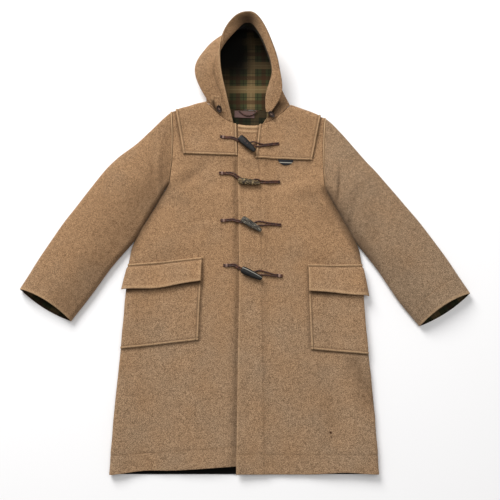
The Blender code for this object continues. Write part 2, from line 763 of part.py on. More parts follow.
def add_body():
    right = Front(-1, UNDERLAP_COLUMNS, RIGHT_LEVELS, front_z, RIGHT_YOKE_Y)
    left = Front(1, LAP_COLUMNS, LEFT_LEVELS, lap_z, LEFT_YOKE_Y, lap_edge_x)
    right.add_panel("right_front")
    left.add_panel("left_front")
    right.add_yoke("yoke_right", 0.0345)
    left.add_yoke("yoke_left", 0.0335)
    right.add_pocket("pocket_right", 0.455, -0.0950, -0.2840)
    left.add_pocket("pocket_left", 0.575, -0.0920, -0.2990)
    right.add_flap("flap_right", 0.455, -0.0480, -0.1190)
    left.add_flap("flap_left", 0.575, -0.0430, -0.1240)

    half = body_grid(BACK_COLUMNS, BACK_LEVELS, back_neck_y)
    half[:, 0, 0] = 0.0
    mirror = half[:, :0:-1].copy()
    mirror[..., 0] *= -1
    grid = np.concatenate([mirror, half], axis=1)
    add_under("back_panel", grid, back_z, 0.0)
    yoke_rows = len(yoke_shares())
    yoke = grid[:yoke_rows, len(EDGE_DISTANCES) : -len(EDGE_DISTANCES)]
    add_under("yoke_back", yoke, back_z, LAYER)


# ---------------------------------------------------------------- sleeves
class Sleeve:
    """A flattened tube from the armhole to the cuff, in two halves."""

    def __init__(self, side, rows):
        self.side = side
        self.rows = rows
        outer = [tuple(laid((side * (SHOULDER_TIP[0] - HALF), SHOULDER_TIP[1], 0.0))[:2])]
        inner = [tuple(laid((side * (UNDERARM[0] - HALF), UNDERARM[1], 0.0))[:2])]
        for outer_x, outer_y, inner_x, inner_y, _ in rows:
            if inner_x is None:
                against = float(side_x(inner_y)) + SIDE_GAP + HALF
                inner_x, inner_y = laid((side * against, inner_y, 0.0))[:2]
            else:
                inner_x = inner_x + side * HALF
            outer.append((outer_x - side * HALF, outer_y))
            inner.append((inner_x, inner_y))
        self.outer = np.array(outer)
        self.inner = np.array(inner)
        self.heights = np.array([rows[0][4], *column(rows, SLEEVE_COLUMNS, "height")])
        self.knots = np.arange(len(outer), dtype=float)
        self.last = float(len(outer) - 1)

    def edge(self, which, b):
        table = getattr(self, which)
        return np.stack([through(self.knots, table[:, i], b) for i in (0, 1)], axis=-1)

    def points(self, a, b, top):
        """a goes from the outer edge to the inner one, b from the armhole (0) to the cuff."""
        a, b = np.broadcast_arrays(np.asarray(a, float), np.asarray(b, float))
        outer, inner = self.edge("outer", b), self.edge("inner", b)
        plan = outer + (inner - outer) * a[..., None]
        width = np.linalg.norm(inner - outer, axis=-1)
        arm_y = SHOULDER_TIP[1] + (UNDERARM[1] - SHOULDER_TIP[1]) * a
        arm_x = self.side * armhole_x(arm_y)
        seam = laid(np.stack([arm_x, arm_y, np.zeros_like(a)], axis=-1))[..., :2]
        seam[..., 0] += self.side * (ARMHOLE_GAP + UNDERARM_GAP * a**4)
        near = 1.0 - smooth_step(b / 1.4)
        start = self.edge("outer", np.zeros_like(b))
        start = start + (self.edge("inner", np.zeros_like(b)) - start) * a[..., None]
        plan = plan + (seam - start) * near[..., None]
        along = np.array(self.outer[-1]) - np.array(self.outer[-3])
        along = along / np.linalg.norm(along)
        bow = CUFF_TOP_BOW if top else CUFF_UNDER_BOW
        push = bow * np.sin(math.pi * a) ** 0.8 * smooth_step((b - self.last + 2.0) / 2.0)
        plan = plan + along * push[..., None]
        turn = quarter_turn(np.minimum(a, 1 - a) * width / SLEEVE_FOLD)
        height = through(self.knots, self.heights, b)
        if top:
            dome = 1 - np.abs(2 * a - 1) ** 2.2
            free = HALF + SEAM + SLEEVE_FOLD * (1 + turn)
            free = free + (height - CLOTH - 2 * SLEEVE_FOLD) * dome * turn
            free = free + self.folds(a, b) * turn
            seam_z = front_z(arm_x, arm_y)
        else:
            free = HALF + SLEEVE_FOLD * (1 - turn)
            seam_z = back_z(arm_x, arm_y)
        blend = smooth_step(b / 1.15)
        z = seam_z * (1 - blend) + free * blend
        return np.concatenate([plan, z[..., None]], axis=-1)

    def folds(self, a, b):
        total = np.zeros_like(a)
        for at_a, at_b, wide_a, wide_b, lean, height in SLEEVE_FOLDS:
            da = (a - at_a) / wide_a
            db = (b - at_b - lean * (a - at_a)) / wide_b
            total = total + height * np.exp(-(da**2) - db**2)
        return total

    def add_half(self, name, top):
        grid_b, grid_a = np.meshgrid(SLEEVE_STATIONS, SLEEVE_SHARES, indexing="ij")
        middle = self.points(grid_a, grid_b, top)
        step_a, step_b = 1e-5, 1e-3
        low_a, high_a = np.clip(grid_a - step_a, 0, 1), np.clip(grid_a + step_a, 0, 1)
        low_b, high_b = np.clip(grid_b - step_b, 0, self.last), np.clip(grid_b + step_b, 0, self.last)
        along_a = self.points(high_a, grid_b, top) - self.points(low_a, grid_b, top)
        along_b = self.points(grid_a, high_b, top) - self.points(grid_a, low_b, top)
        normal = np.cross(along_a, along_b)
        normal /= np.linalg.norm(normal, axis=-1, keepdims=True)
        if (normal[4, 6, 2] > 0) != top:
            normal = -normal
        outer, inner = middle + normal * HALF, middle - normal * HALF
        outer[..., 2] = np.maximum(outer[..., 2], 0.0)
        add_wall(name, outer, inner, "wool")


def add_sleeves():
    for name, side, rows in (("right", -1, RIGHT_SLEEVE), ("left", 1, LEFT_SLEEVE)):
        sleeve = Sleeve(side, rows)
        sleeve.add_half(f"sleeve_{name}_top", True)
        sleeve.add_half(f"sleeve_{name}_under", False)


# ---------------------------------------------------------------- hood
class Hood:
    """Half of the hood: arches from the neckline to the seam over the crown."""

    def __init__(self, side, rows):
        self.side = side
        self.runs = column(rows, HOOD_COLUMNS, "run")
        self.rows = rows

    def value(self, name, run):
        return through(self.runs, column(self.rows, HOOD_COLUMNS, name), run)

    def base(self, run):
        """The lower edge: down the front neckline, round the shoulder, to the back of the neck."""
        run = np.asarray(run, float)
        front = np.clip(run / HOOD_NECK_SHARE, 0, 1)
        back = np.clip((run - HOOD_NECK_SHARE) / (1 - HOOD_NECK_SHARE), 0, 1)
        x = HOOD_FRONT_X + (NECK_SIDE[0] - HOOD_FRONT_X) * front + (HOOD_BACK_X - NECK_SIDE[0]) * back
        turn = smooth_step((run - HOOD_NECK_SHARE + 0.12) / 0.24)
        y = neck_y(x) * (1 - turn) + back_neck_y(x) * turn
        z_front = front_z(x, neck_y(x) - 1e-5) + LAYER / 2
        z_back = HALF + 0.0 * x
        z = z_front * (1 - turn) + z_back * turn
        y = y + NECK_GAP + NECK_SIDE_GAP * np.exp(-(((run - NECK_SIDE_RUN) / 0.11) ** 2))
        points = np.stack([self.side * x, y, z], axis=-1)
        return laid(points)

    def swell(self, p, run):
        """How far an arch stands out from the straight way to the crown."""
        zero = np.zeros_like(p)
        values = [zero, *(self.value(n, run) for n in ("low", "middle", "high", "crown")), zero]
        flat = np.stack([np.broadcast_to(v, p.shape).ravel() for v in values])
        result = [float(through(HOOD_STATIONS, flat[:, i], at)) for i, at in enumerate(p.ravel())]
        return np.array(result).reshape(p.shape)

    def points(self, p, run):
        """p goes from the neckline (0) to the crown seam (1), run from the face edge to the neck."""
        p, run = np.broadcast_arrays(np.asarray(p, float), np.asarray(run, float))
        base = self.base(run)
        top = np.stack([self.value(n, run) for n in ("top_x", "top_y", "top_z")], axis=-1)
        rise = self.value("rise", run)
        swell = self.swell(p, run)
        x = base[..., 0] + (top[..., 0] - base[..., 0]) * p + self.side * swell
        y = base[..., 1] + (top[..., 1] - base[..., 1]) * np.sin(math.pi / 2 * p)
        z = base[..., 2] + (top[..., 2] - base[..., 2]) * p + rise * np.sin(math.pi * p)
        return np.stack([x, y, np.maximum(z, HALF)], axis=-1)

    def normals(self, p, run):
        step = 1e-4
        low_p, high_p = np.clip(p - step, 0, 1), np.clip(p + step, 0, 1)
        low_r, high_r = np.clip(run - step, 0, 1), np.clip(run + step, 0, 1)
        along_p = self.points(high_p, run) - self.points(low_p, run)
        along_r = self.points(p, high_r) - self.points(p, low_r)
        normal = -np.cross(along_p, along_r) * self.side
        return normal / np.linalg.norm(normal, axis=-1, keepdims=True)

    def on_facets(self, p, run):
        """The outer face of the wall's own facets at a place, and the hood's normal there."""
        i = min(int(np.searchsorted(HOOD_RISES, p, side="right")) - 1, len(HOOD_RISES) - 2)
        j = min(int(np.searchsorted(HOOD_RUNS, run, side="right")) - 1, len(HOOD_RUNS) - 2)
        up = (p - HOOD_RISES[i]) / (HOOD_RISES[i + 1] - HOOD_RISES[i])
        over = (run - HOOD_RUNS[j]) / (HOOD_RUNS[j + 1] - HOOD_RUNS[j])

        def corner(a, b):
            place = np.array([HOOD_RISES[i + a]]), np.array([HOOD_RUNS[j + b]])
            return self.points(*place)[0] + self.normals(*place)[0] * HALF

        if over >= up:
            point = corner(0, 0) + over * (corner(0, 1) - corner(0, 0)) + up * (corner(1, 1) - corner(0, 1))
        else:
            point = corner(0, 0) + up * (corner(1, 0) - corner(0, 0)) + over * (corner(1, 1) - corner(1, 0))
        return point, self.normals(np.array([p]), np.array([run]))[0]

    def highest_near(self, centre, normal, reach):
        """How far the hood and its facing stand out, along a normal, within reach of a place."""
        p, run = np.meshgrid(np.linspace(0.0, 0.25, 40), np.linspace(0.0, 0.5, 60), indexing="ij")
        middle, normals = self.points(p, run), self.normals(p, run)
        highest = 0.0
        for depth in (HALF, -HALF - SEAM - FACING_CLOTH):
            offset = middle + normals * depth - centre
            out = offset @ normal
            aside = np.linalg.norm(offset - out[..., None] * normal, axis=-1)
            highest = max(highest, float(out[aside < reach].max()))
        return highest

    def add_layer(self, name, rises, runs, depth, cloth):
        """A wall over part of the hood, its outer face depth inside the hood's outer face."""
        grid_p, grid_run = np.meshgrid(rises, runs, indexing="ij")
        middle, normal = self.points(grid_p, grid_run), self.normals(grid_p, grid_run)
        crown_x = self.value("top_x", grid_run)
        faces = []
        for offset in (cloth / 2 - depth, -cloth / 2 - depth):
            face = middle + normal * offset
            clear = self.side * (face[..., 0] - crown_x)
            face[..., 0] += self.side * np.maximum(SEAM / 2 - clear, 0.0)
            face[..., 2] = np.maximum(face[..., 2], 0.0)
            faces.append(face)
        add_wall(name, faces[0], faces[1], "wool")


def add_tab(name, hood, start, end, half_width):
    """A throat tab that lies on the hood's facets."""
    start, end, half_width = np.array(start), np.array(end), np.array(half_width)
    faces = []
    for lift in (TAB_GAP + CLOTH, TAB_GAP):
        grid = np.zeros((len(TAB_SHARES), 3, 3))
        for i, share in enumerate(TAB_SHARES):
            width = half_width * (1.0 if 0.0 < share < 1.0 else TAB_END_SHARE)
            for j in range(3):
                place = start + (end - start) * share + width * (j - 1)
                point, normal = hood.on_facets(*place)
                grid[i, j] = point + normal * lift
        faces.append(grid)
    add_wall(name, faces[0], faces[1], "wool")


def add_button(name, hood, place, lean):
    """An oval button over a tab's end, clear of the hood all round it."""
    centre, normal = hood.on_facets(*place)
    lean = math.radians(lean)
    along = np.array((-math.sin(lean), math.cos(lean), 0.0))
    along -= normal * np.dot(normal, along)
    along /= np.linalg.norm(along)
    across = np.cross(along, normal)
    seat = max(CLOTH + 2 * TAB_GAP, SEAM + hood.highest_near(centre, normal, BUTTON_HALF_LENGTH))
    angles = 2 * math.pi * np.arange(BUTTON_SIDES) / BUTTON_SIDES
    circle = BUTTON_HALF_WIDTH * np.cos(angles)[:, None] * across
    circle = circle + BUTTON_HALF_LENGTH * np.sin(angles)[:, None] * along
    rings = [centre + normal * (seat + d * BUTTON_THICKNESS) + circle * share for d, share in BUTTON_SECTIONS]
    add_rings(name, rings, "horn")


def add_hood():
    for name, side, rows in (("right", -1, RIGHT_HOOD), ("left", 1, LEFT_HOOD)):
        half = Hood(side, rows)
        *tab, button_place, lean = HOOD_TABS[name]
        add_tab(f"hood_tab_{name}", half, *tab)
        add_button(f"hood_button_{name}", half, button_place, lean)
        half.add_layer(f"hood_{name}", HOOD_RISES, HOOD_RUNS, 0.0, CLOTH)
        depth = CLOTH / 2 + SEAM + FACING_CLOTH / 2
        runs = HOOD_RUNS[:FACING_RUNS]
        half.add_layer(f"hood_facing_{name}", HOOD_RISES[1:], runs, depth, FACING_CLOTH)


# ---------------------------------------------------------------- fastenings and labels
def cloth_top(x, y):
    """Upper face of the coat at a pattern place on its fronts."""
    z = np.where(x > lap_edge_x(y), lap_z(x, y), front_z(x, y)) + HALF
    on_yoke = ((y > RIGHT_YOKE_Y) & (x < -0.0295)) | ((y > LEFT_YOKE_Y) & (x > 0.0230))
    return z + np.where(on_yoke, LAYER, 0.0)


def add_toggle(number, ends):
    """A horn toggle on the highest cloth below it. Returns the height of that cloth."""
    wide, tip = np.array(ends[:2]), np.array(ends[2:])
    axis = (tip - wide) / np.linalg.norm(tip - wide)
    across = np.array((-axis[1], axis[0]))
    steps = (-TOGGLE_HALF_HEIGHT, 0.0, TOGGLE_HALF_HEIGHT)
    below = [wide + (tip - wide) * t + across * s for t in np.linspace(0, 1, 7) for s in steps]
    rest = max(float(cloth_top(x, y)) for x, y in below)
    middle_z = rest + 2 * SEAM + 2 * THONG_RADIUS + 0.95 * TOGGLE_HALF_HEIGHT
    rings = []
    for share, half_width, half_height in TOGGLE_SECTIONS:
        centre = wide + (tip - wide) * share
        ring = []
        for i in range(TOGGLE_SIDES):
            angle = 2 * math.pi * (i + 0.5) / TOGGLE_SIDES
            flat = across * half_width * math.cos(angle)
            ring.append((*(centre + flat), middle_z + half_height * math.sin(angle)))
        rings.append(laid(np.array(ring)))
    add_rings(f"toggle_{number}", rings, "horn")
    return rest


def thong_route(stations, rest):
    """A doubled thong: out along one strand, round under the toggle and back along the other."""
    stations = np.array(stations)
    plan, spread = stations[:, :2], stations[:, 2:]
    along = np.gradient(plan, axis=0)
    along /= np.linalg.norm(along, axis=1, keepdims=True)
    across = np.stack([-along[:, 1], along[:, 0]], axis=1)
    turn = []
    for angle in (math.pi / 4, 0.0, -math.pi / 4):
        turn.append(plan[-1] + spread[-1] * (along[-1] * math.cos(angle) + across[-1] * math.sin(angle)))
    out, back = plan + across * spread, plan - across * spread
    route = []
    for x, y in [*out, *turn, *back[::-1]]:
        near = [cloth_top(x + dx, y + dy) for dx in THONG_REACH_X for dy in THONG_REACH_Y]
        route.append((x, y, min(float(max(near)), rest) + SEAM + THONG_RADIUS))
    route = np.array(route)
    held = slice(len(stations) - 1, len(stations) + len(turn) + 1)
    route[held, 2] = rest + SEAM + THONG_RADIUS
    for _ in range(2):
        between = (route[:-2, 2] + route[2:, 2]) / 2
        route[1:-1, 2] = np.maximum(route[1:-1, 2], between)
    return laid(route)


def add_fastenings():
    rows = zip(TOGGLES, HOLDER_THONGS, LOOP_THONGS)
    for number, (ends, holder, loop) in enumerate(rows, 1):
        rest = add_toggle(number, ends)
        for name, stations in (("toggle_thong", holder), ("loop_thong", loop)):
            route = thong_route(stations, rest)
            add_tube(f"{name}_{number}", route, THONG_RADIUS, THONG_SIDES, "leather")


def add_patch(name, place, size, lift, height, material, drop=0.0):
    """A label on a height field, its top edge at place. drop rounds its lower edge."""
    columns = np.linspace(-0.5, 0.5, 6)
    rows = np.linspace(0.0, 1.0, 3)
    grid = np.zeros((len(rows), len(columns), 2))
    for i, r in enumerate(rows):
        for j, c in enumerate(columns):
            length = size[1] * (1 - drop * (2 * abs(c)) ** 2.5)
            grid[i, j] = place[0] + c * size[0], place[1] - r * length
    add_on(name, grid, height, lift, material, cloth=LABEL_CLOTH)


def add_labels():
    lift = HALF + LABEL_GAP + LABEL_CLOTH / 2
    add_patch("label_tab", LABEL_PLACE, LABEL_SIZE, lift, lap_z, "label", LABEL_ROUNDING)
    add_patch("neck_label", NECK_LABEL_PLACE, NECK_LABEL_SIZE, lift, back_z, "tape")
    route = []
    for share in np.linspace(-1, 1, 9):
        x = HANGER_PLACE[0] + share * HANGER_SPAN / 2
        y = HANGER_PLACE[1] - HANGER_DIP * (1 - share**2)
        z = float(back_z(x, y)) + HALF + LABEL_GAP + LABEL_CLOTH + 2 * SEAM + HANGER_RADIUS
        route.append((x, y, z))
    add_tube("hanger_loop", laid(np.array(route)), HANGER_RADIUS, THONG_SIDES, "leather")


# ---------------------------------------------------------------- run
def clear_scene():
    for obj in list(bpy.data.objects):
        bpy.data.objects.remove(obj)


def main():
    clear_scene()
    add_body()
    add_sleeves()
    add_hood()
    add_fastenings()
    add_labels()


main()
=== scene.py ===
"""The looks of a duffle coat laid flat on its back, front up.

+X is the wearer's left, +Y runs from hem to hood and +Z is up. The body is drawn as a flat
pattern, given its height as laid, and then leaned and turned a little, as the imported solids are.
"""

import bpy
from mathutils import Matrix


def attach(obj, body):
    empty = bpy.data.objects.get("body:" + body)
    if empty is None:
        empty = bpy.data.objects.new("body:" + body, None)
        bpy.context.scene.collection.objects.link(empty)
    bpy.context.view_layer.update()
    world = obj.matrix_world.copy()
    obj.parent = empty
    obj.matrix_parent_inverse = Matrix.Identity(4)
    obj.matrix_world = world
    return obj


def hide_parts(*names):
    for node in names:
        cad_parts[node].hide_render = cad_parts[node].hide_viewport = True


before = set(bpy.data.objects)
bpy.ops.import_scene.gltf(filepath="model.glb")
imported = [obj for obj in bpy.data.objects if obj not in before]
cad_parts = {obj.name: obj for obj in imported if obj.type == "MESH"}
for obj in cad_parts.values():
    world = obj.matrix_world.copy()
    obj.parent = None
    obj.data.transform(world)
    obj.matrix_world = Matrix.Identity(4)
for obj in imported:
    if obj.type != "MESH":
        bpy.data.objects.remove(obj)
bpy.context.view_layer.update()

import logging
import math
from dataclasses import dataclass, field
from enum import Enum
from typing import Any, Callable

import bpy
import numpy as np

log = logging.getLogger("duffle_coat")

Array = np.ndarray
Colour = tuple[float, float, float]
Faces = list[list[int]]
Height = Callable[[Array, Array], Array]
Material = bpy.types.Material
Pair = tuple[float, float]
Piece = bpy.types.Object
Place = tuple[float, float, float]
Route = tuple[tuple[float, ...], ...]
Socket = bpy.types.NodeSocket

# The cloth's thickness, the air at a seam, a layer on another and half a wall, in metres.
CLOTH = 0.0030
SEAM = 0.0003
LAYER = CLOTH + SEAM
HALF = CLOTH / 2

# Where a grid has its lines beside a sewn edge, a plain hem, a line of stitching and along a cord, in metres.
EDGE_STEPS = np.array([0.0, 0.0022, 0.0040, 0.0056, 0.0070, 0.0084, 0.0100, 0.0130])
HEM_STEPS = np.array([0.0, 0.0026, 0.0055, 0.010, 0.0165, 0.023, 0.030, 0.037, 0.043])
STITCH_STEPS = np.array([-0.0032, -0.0016, 0.0, 0.0016, 0.0032])
CORD_STEP = 0.0012


def tint(red: float, green: float, blue: float) -> Colour:
    """Turns a display colour of 0 to 255 into a linear one."""
    return tuple((c / 255 / 12.92) if c <= 10 else ((c / 255 + 0.055) / 1.055) ** 2.4 for c in (red, green, blue))


# ---- shader graphs
class Value:
    """A number on a socket of a shader graph. Arithmetic on it adds Math nodes."""

    def __init__(self, graph: "Graph", socket: Socket) -> None:
        """Wraps a socket of a graph."""
        self.graph = graph
        self.socket = socket

    def __add__(self, other: "Value | float") -> "Value":
        """The sum of two numbers."""
        return self.graph.math("ADD", self, other)

    def __sub__(self, other: "Value | float") -> "Value":
        """This number less another."""
        return self.graph.math("SUBTRACT", self, other)

    def __rsub__(self, other: float) -> "Value":
        """Another number less this one."""
        return self.graph.math("SUBTRACT", other, self)

    def __mul__(self, other: "Value | float") -> "Value":
        """The product of two numbers."""
        return self.graph.math("MULTIPLY", self, other)

    def __truediv__(self, other: "Value | float") -> "Value":
        """This number over another."""
        return self.graph.math("DIVIDE", self, other)

    def __abs__(self) -> "Value":
        """The size of this number."""
        return self.graph.math("ABSOLUTE", self)

    __radd__ = __add__
    __rmul__ = __mul__

    def clamped(self) -> "Value":
        """This number held between 0 and 1."""
        return self.graph.math("MULTIPLY", self, 1.0, clamp=True)

    def wave(self) -> "Value":
        """The sine of this number."""
        return self.graph.math("SINE", self)

    def band(self, period: float, centre: float, width: float, soft: float) -> "Value":
        """A stripe that comes back along a coordinate.

        Args:
            period: The distance from stripe to stripe, in metres.
            centre: Where the first stripe's middle is.
            width: The stripe's width.
            soft: How far its edge fades.

        Returns:
            1 on the stripe and 0 off it.
        """
        place = self.graph.math("FRACT", self / period + (0.5 - centre / period + 40.0))
        away = abs(place - 0.5) * period
        return ((width / 2 + soft / 2 - away) / soft).clamped()


class Graph:
    """The node tree of one material round its Principled shader."""

    def __init__(self, name: str, **constants: Any) -> None:
        """Makes a material.

        Args:
            name: The material's name.
            constants: Values for the shader's own sockets, with _ for a space.
        """
        self.material = bpy.data.materials.new(name)
        self.material.use_nodes = True
        self.tree = self.material.node_tree
        self.shader = self.tree.nodes["Principled BSDF"]
        for key, value in constants.items():
            self.feed(self.shader.inputs[key.replace("_", " ")], value)

    def feed(self, socket: Socket, value: Any) -> None:
        """Links a value to a socket, or sets it there.

        Args:
            socket: The input socket.
            value: A number, colour, socket or graph value.
        """
        if isinstance(value, Value):
            self.tree.links.new(value.socket, socket)
        elif isinstance(value, Socket):
            self.tree.links.new(value, socket)
        elif isinstance(value, tuple) and socket.type == "RGBA":
            socket.default_value = (*value, 1.0)
        else:
            socket.default_value = value

    def node(self, kind: str, settings: dict[str, Any] | None = None, sockets: dict[Any, Any] | None = None) -> Any:
        """Adds a node.

        Args:
            kind: The node's type.
            settings: Its settings, such as a Math node's operation.
            sockets: Values or links for its input sockets, by name or number.

        Returns:
            The node.
        """
        made = self.tree.nodes.new(kind)
        for key, value in (settings or {}).items():
            setattr(made, key, value)
        for key, value in (sockets or {}).items():
            self.feed(made.inputs[key], value)
        return made

    def math(self, operation: str, *values: "Value | float", clamp: bool = False) -> Value:
        """A Math node of one operation on some values."""
        made = self.node("ShaderNodeMath", {"operation": operation, "use_clamp": clamp}, dict(enumerate(values)))
        return Value(self, made.outputs[0])

    def mix(self, share: "Value | float", low: Any, high: Any) -> Socket:
        """A colour between two others, by a share of 0 to 1."""
        return self.node("ShaderNodeMix", {"data_type": "RGBA"}, {0: share, 6: low, 7: high}).outputs[2]

    def place(self) -> Socket:
        """The place of a point on the object, in metres."""
        return self.node("ShaderNodeTexCoord").outputs["Object"]

    def cut(self) -> Socket:
        """The place of a point on the flat cut, in metres."""
        return self.node("ShaderNodeUVMap", {"uv_map": "cut"}).outputs[0]

    def across_along(self) -> tuple[Value, Value]:
        """The two coordinates of a point on the flat cut."""
        parts = self.node("ShaderNodeSeparateXYZ", sockets={0: self.cut()})
        return Value(self, parts.outputs[0]), Value(self, parts.outputs[1])

    def mark(self, name: str) -> Value:
        """A number that the mesh carries from point to point."""
        return Value(self, self.node("ShaderNodeAttribute", {"attribute_name": name}).outputs["Fac"])

    def away(self, point: Place) -> Value:
        """The distance to a point, in metres."""
        made = self.node("ShaderNodeVectorMath", {"operation": "DISTANCE"}, {0: self.place(), 1: point})
        return Value(self, made.outputs["Value"])

    def stretched(self, vector: Socket, scale: Place) -> Socket:
        """A vector scaled along its axes."""
        return self.node("ShaderNodeVectorMath", {"operation": "MULTIPLY"}, {0: vector, 1: scale}).outputs[0]

    def noise(self, scale: float, detail: float = 2.0, rough: float = 0.5, at: Any = None) -> Value:
        """Cloudy noise.

        Args:
            scale: Its cells for each metre.
            detail: How many finer layers it has.
            rough: How strong they are.
            at: The vector that it reads, or None for the place on the object.

        Returns:
            A value round 0.5.
        """
        sockets = {"Vector": at or self.place(), "Scale": scale, "Detail": detail, "Roughness": rough}
        return Value(self, self.node("ShaderNodeTexNoise", sockets=sockets).outputs[0])

    def bump(self, height: Value, distance: float, strength: float = 1.0) -> None:
        """Feeds a height of 0 to 1 to the shader as relief of this depth in metres."""
        sockets = {"Height": height, "Distance": distance, "Strength": strength}
        self.feed(self.shader.inputs["Normal"], self.node("ShaderNodeBump", sockets=sockets).outputs[0])

    def paint(self, colour: Any, rough: "Value | float") -> Material:
        """Feeds the colour and the roughness, and returns the material.

        Args:
            colour: A colour or a socket.
            rough: The roughness.

        Returns:
            The finished material.
        """
        self.feed(self.shader.inputs["Base Color"], colour)
        self.feed(self.shader.inputs["Roughness"], rough)
        return self.material


# ---- finishes
@dataclass(frozen=True)
class Wool:
    """Heathered wool with a raised nap: two mixed fibres, paler on its ridges and edges from wear and a painted
    highlight, and darkened by painted shade in creases and grooves.
    """

    name: str = "camel_wool"
    light: Colour = tint(184, 146, 108)
    dark: Colour = tint(110, 81, 56)
    cool_light: Colour = tint(178, 150, 121)
    cool_dark: Colour = tint(98, 79, 60)
    # The paler colour of ridges and edges: partly wear, partly a painted highlight.
    lightened: Colour = tint(204, 168, 128)
    # The colour of painted shade in creases, stitch grooves, under the flaps and beside layers.
    painted_shade: Colour = tint(50, 33, 20)
    speck: Colour = tint(52, 23, 8)
    # Small dark specks: their places, radius and strength.
    specks: tuple[tuple[float, ...], ...] = ((0.2338, -0.5088, 0.0099, 0.0034, 1.00),
                                             (0.2344, -0.5202, 0.0107, 0.0026, 0.50))

    def material(self) -> Material:
        """The wool's material.

        Returns:
            The finished material.
        """
        graph = Graph(self.name, Sheen_Weight=0.18, Sheen_Roughness=0.6, Sheen_Tint=tint(225, 200, 170),
                      Specular_IOR_Level=0.12)
        tufts = graph.noise(780.0, 2.0, 0.7)
        felt = graph.noise(420.0, 3.0, 0.65)
        clouds = graph.noise(11.0, 2.0, 0.5)
        mottle = graph.noise(95.0, 2.0, 0.6)
        heather = ((tufts * 0.45 + felt * 0.45 + mottle * 0.10) * 7.8 - 3.41).clamped()
        base = graph.mix(heather, self.dark, self.light)
        cool = graph.mix(heather, self.cool_dark, self.cool_light)
        base = graph.mix((graph.mark("cool") + (clouds - 0.5) * 1.2).clamped(), base, cool)
        # Ridges and edges paler: partly wear, partly a painted highlight.
        base = graph.mix((graph.mark("lightened") * (felt * 1.4 + 0.2)).clamped(), base, self.lightened)
        # Painted shade in creases, stitch grooves and beside layers.
        base = graph.mix((graph.mark("painted_shade") * (felt * 0.8 + 0.5)).clamped(), base, self.painted_shade)
        for x, y, z, radius, strength in self.specks:
            base = graph.mix((1.5 - graph.away((x, y, z)) / radius).clamped() * strength, base, self.speck)
        nap = tufts * 0.5 + felt + graph.noise(1500.0, 1.0) * 0.3
        graph.bump(nap, 0.0013, 0.8)
        return graph.paint(base, 0.92 + (felt - 0.5) * 0.10)


@dataclass(frozen=True)
class Check:
    """The coat's inner face: a plain traditional check of green, tan and brown."""

    name: str = "inner_check"
    ground: Colour = tint(63, 64, 38)
    fibre: Colour = tint(44, 38, 24)
    shade: Colour = tint(6, 5, 3)
    repeat: float = 0.080
    soft: float = 0.0012
    strength: float = 0.62
    # The middle, the width and the colour of each stripe of the check.
    stripes: tuple[tuple[float, float, Colour], ...] = (
        (0.020, 0.0240, tint(130, 105, 71)),
        (0.058, 0.0130, tint(66, 38, 22)),
        (0.040, 0.0022, tint(18, 18, 12)),
        (0.074, 0.0022, tint(18, 18, 12)),
        (0.020, 0.0018, tint(140, 124, 86)),
    )

    def material(self) -> Material:
        """The check's material.

        Returns:
            The finished material.
        """
        graph = Graph(self.name, Sheen_Weight=0.05, Sheen_Roughness=0.5, Specular_IOR_Level=0.1)
        across, along = graph.across_along()
        colour: Any = self.ground
        for one in (across, along):
            for centre, width, stripe in self.stripes:
                share = one.band(self.repeat, centre, width, self.soft) * self.strength
                colour = graph.mix(share, colour, stripe)
        twill = (across * 2600.0 + along * 2600.0).wave()
        fibres = graph.noise(700.0, 2.0)
        colour = graph.mix(((fibres - 0.3) * 0.6).clamped(), colour, self.fibre)
        # Painted shade on the inner face: inside the hood and the sleeves, and on the back near hem and neck.
        colour = graph.mix(graph.mark("deep"), colour, self.shade)
        graph.bump(twill * 0.25 + fibres, 0.0005)
        return graph.paint(colour, 0.92 - fibres * 0.08)


@dataclass(frozen=True)
class Leather:
    """Dark round leather thong, waxed, with paler scuffs."""

    name: str = "thong_leather"
    deep: Colour = tint(50, 24, 14)
    lightened: Colour = tint(126, 72, 46)

    def material(self) -> Material:
        """The leather's material.

        Returns:
            The finished material.
        """
        graph = Graph(self.name, Specular_IOR_Level=0.45)
        grain = graph.noise(900.0, 4.0, 0.6)
        scuffs = graph.noise(160.0, 3.0, 0.7)
        colour = graph.mix(((scuffs - 0.45) * 2.6).clamped(), self.deep, self.lightened)
        graph.bump(grain + scuffs * 0.5, 0.0003, 0.7)
        return graph.paint(colour, 0.36 + grain * 0.28)


@dataclass(frozen=True)
class Horn:
    """Polished horn with streaks along its growth."""

    name: str = "toggle_horn"
    black: Colour = tint(20, 18, 16)
    grey: Colour = tint(96, 88, 72)
    olive: Colour = tint(74, 58, 34)
    streaks: Place = (60.0, 900.0, 900.0)
    line: float = 0.0
    pale: Colour = tint(176, 172, 160)

    def material(self) -> Material:
        """The horn's material.

        Returns:
            The finished material.
        """
        graph = Graph(self.name, Specular_IOR_Level=0.24, Coat_Roughness=0.15)
        grown = graph.stretched(graph.cut(), self.streaks)
        streak = graph.noise(1.0, 4.0, 0.55, grown)
        bloom = graph.noise(55.0, 3.0, 0.6)
        colour = graph.mix(((streak - 0.50) * 5.0).clamped(), self.black, self.grey)
        colour = graph.mix(((bloom - 0.50) * 4.0).clamped() * 0.7, colour, self.olive)
        if self.line:
            line = graph.across_along()[1].band(10.0, self.line, 0.0016, 0.0012)
            colour = graph.mix(line * (streak + 0.25), colour, self.pale)
        graph.feed(graph.shader.inputs["Coat Weight"], bloom * 0.08)
        graph.bump(streak, 0.0004, 0.9)
        return graph.paint(colour, 0.42 + streak * 0.2)


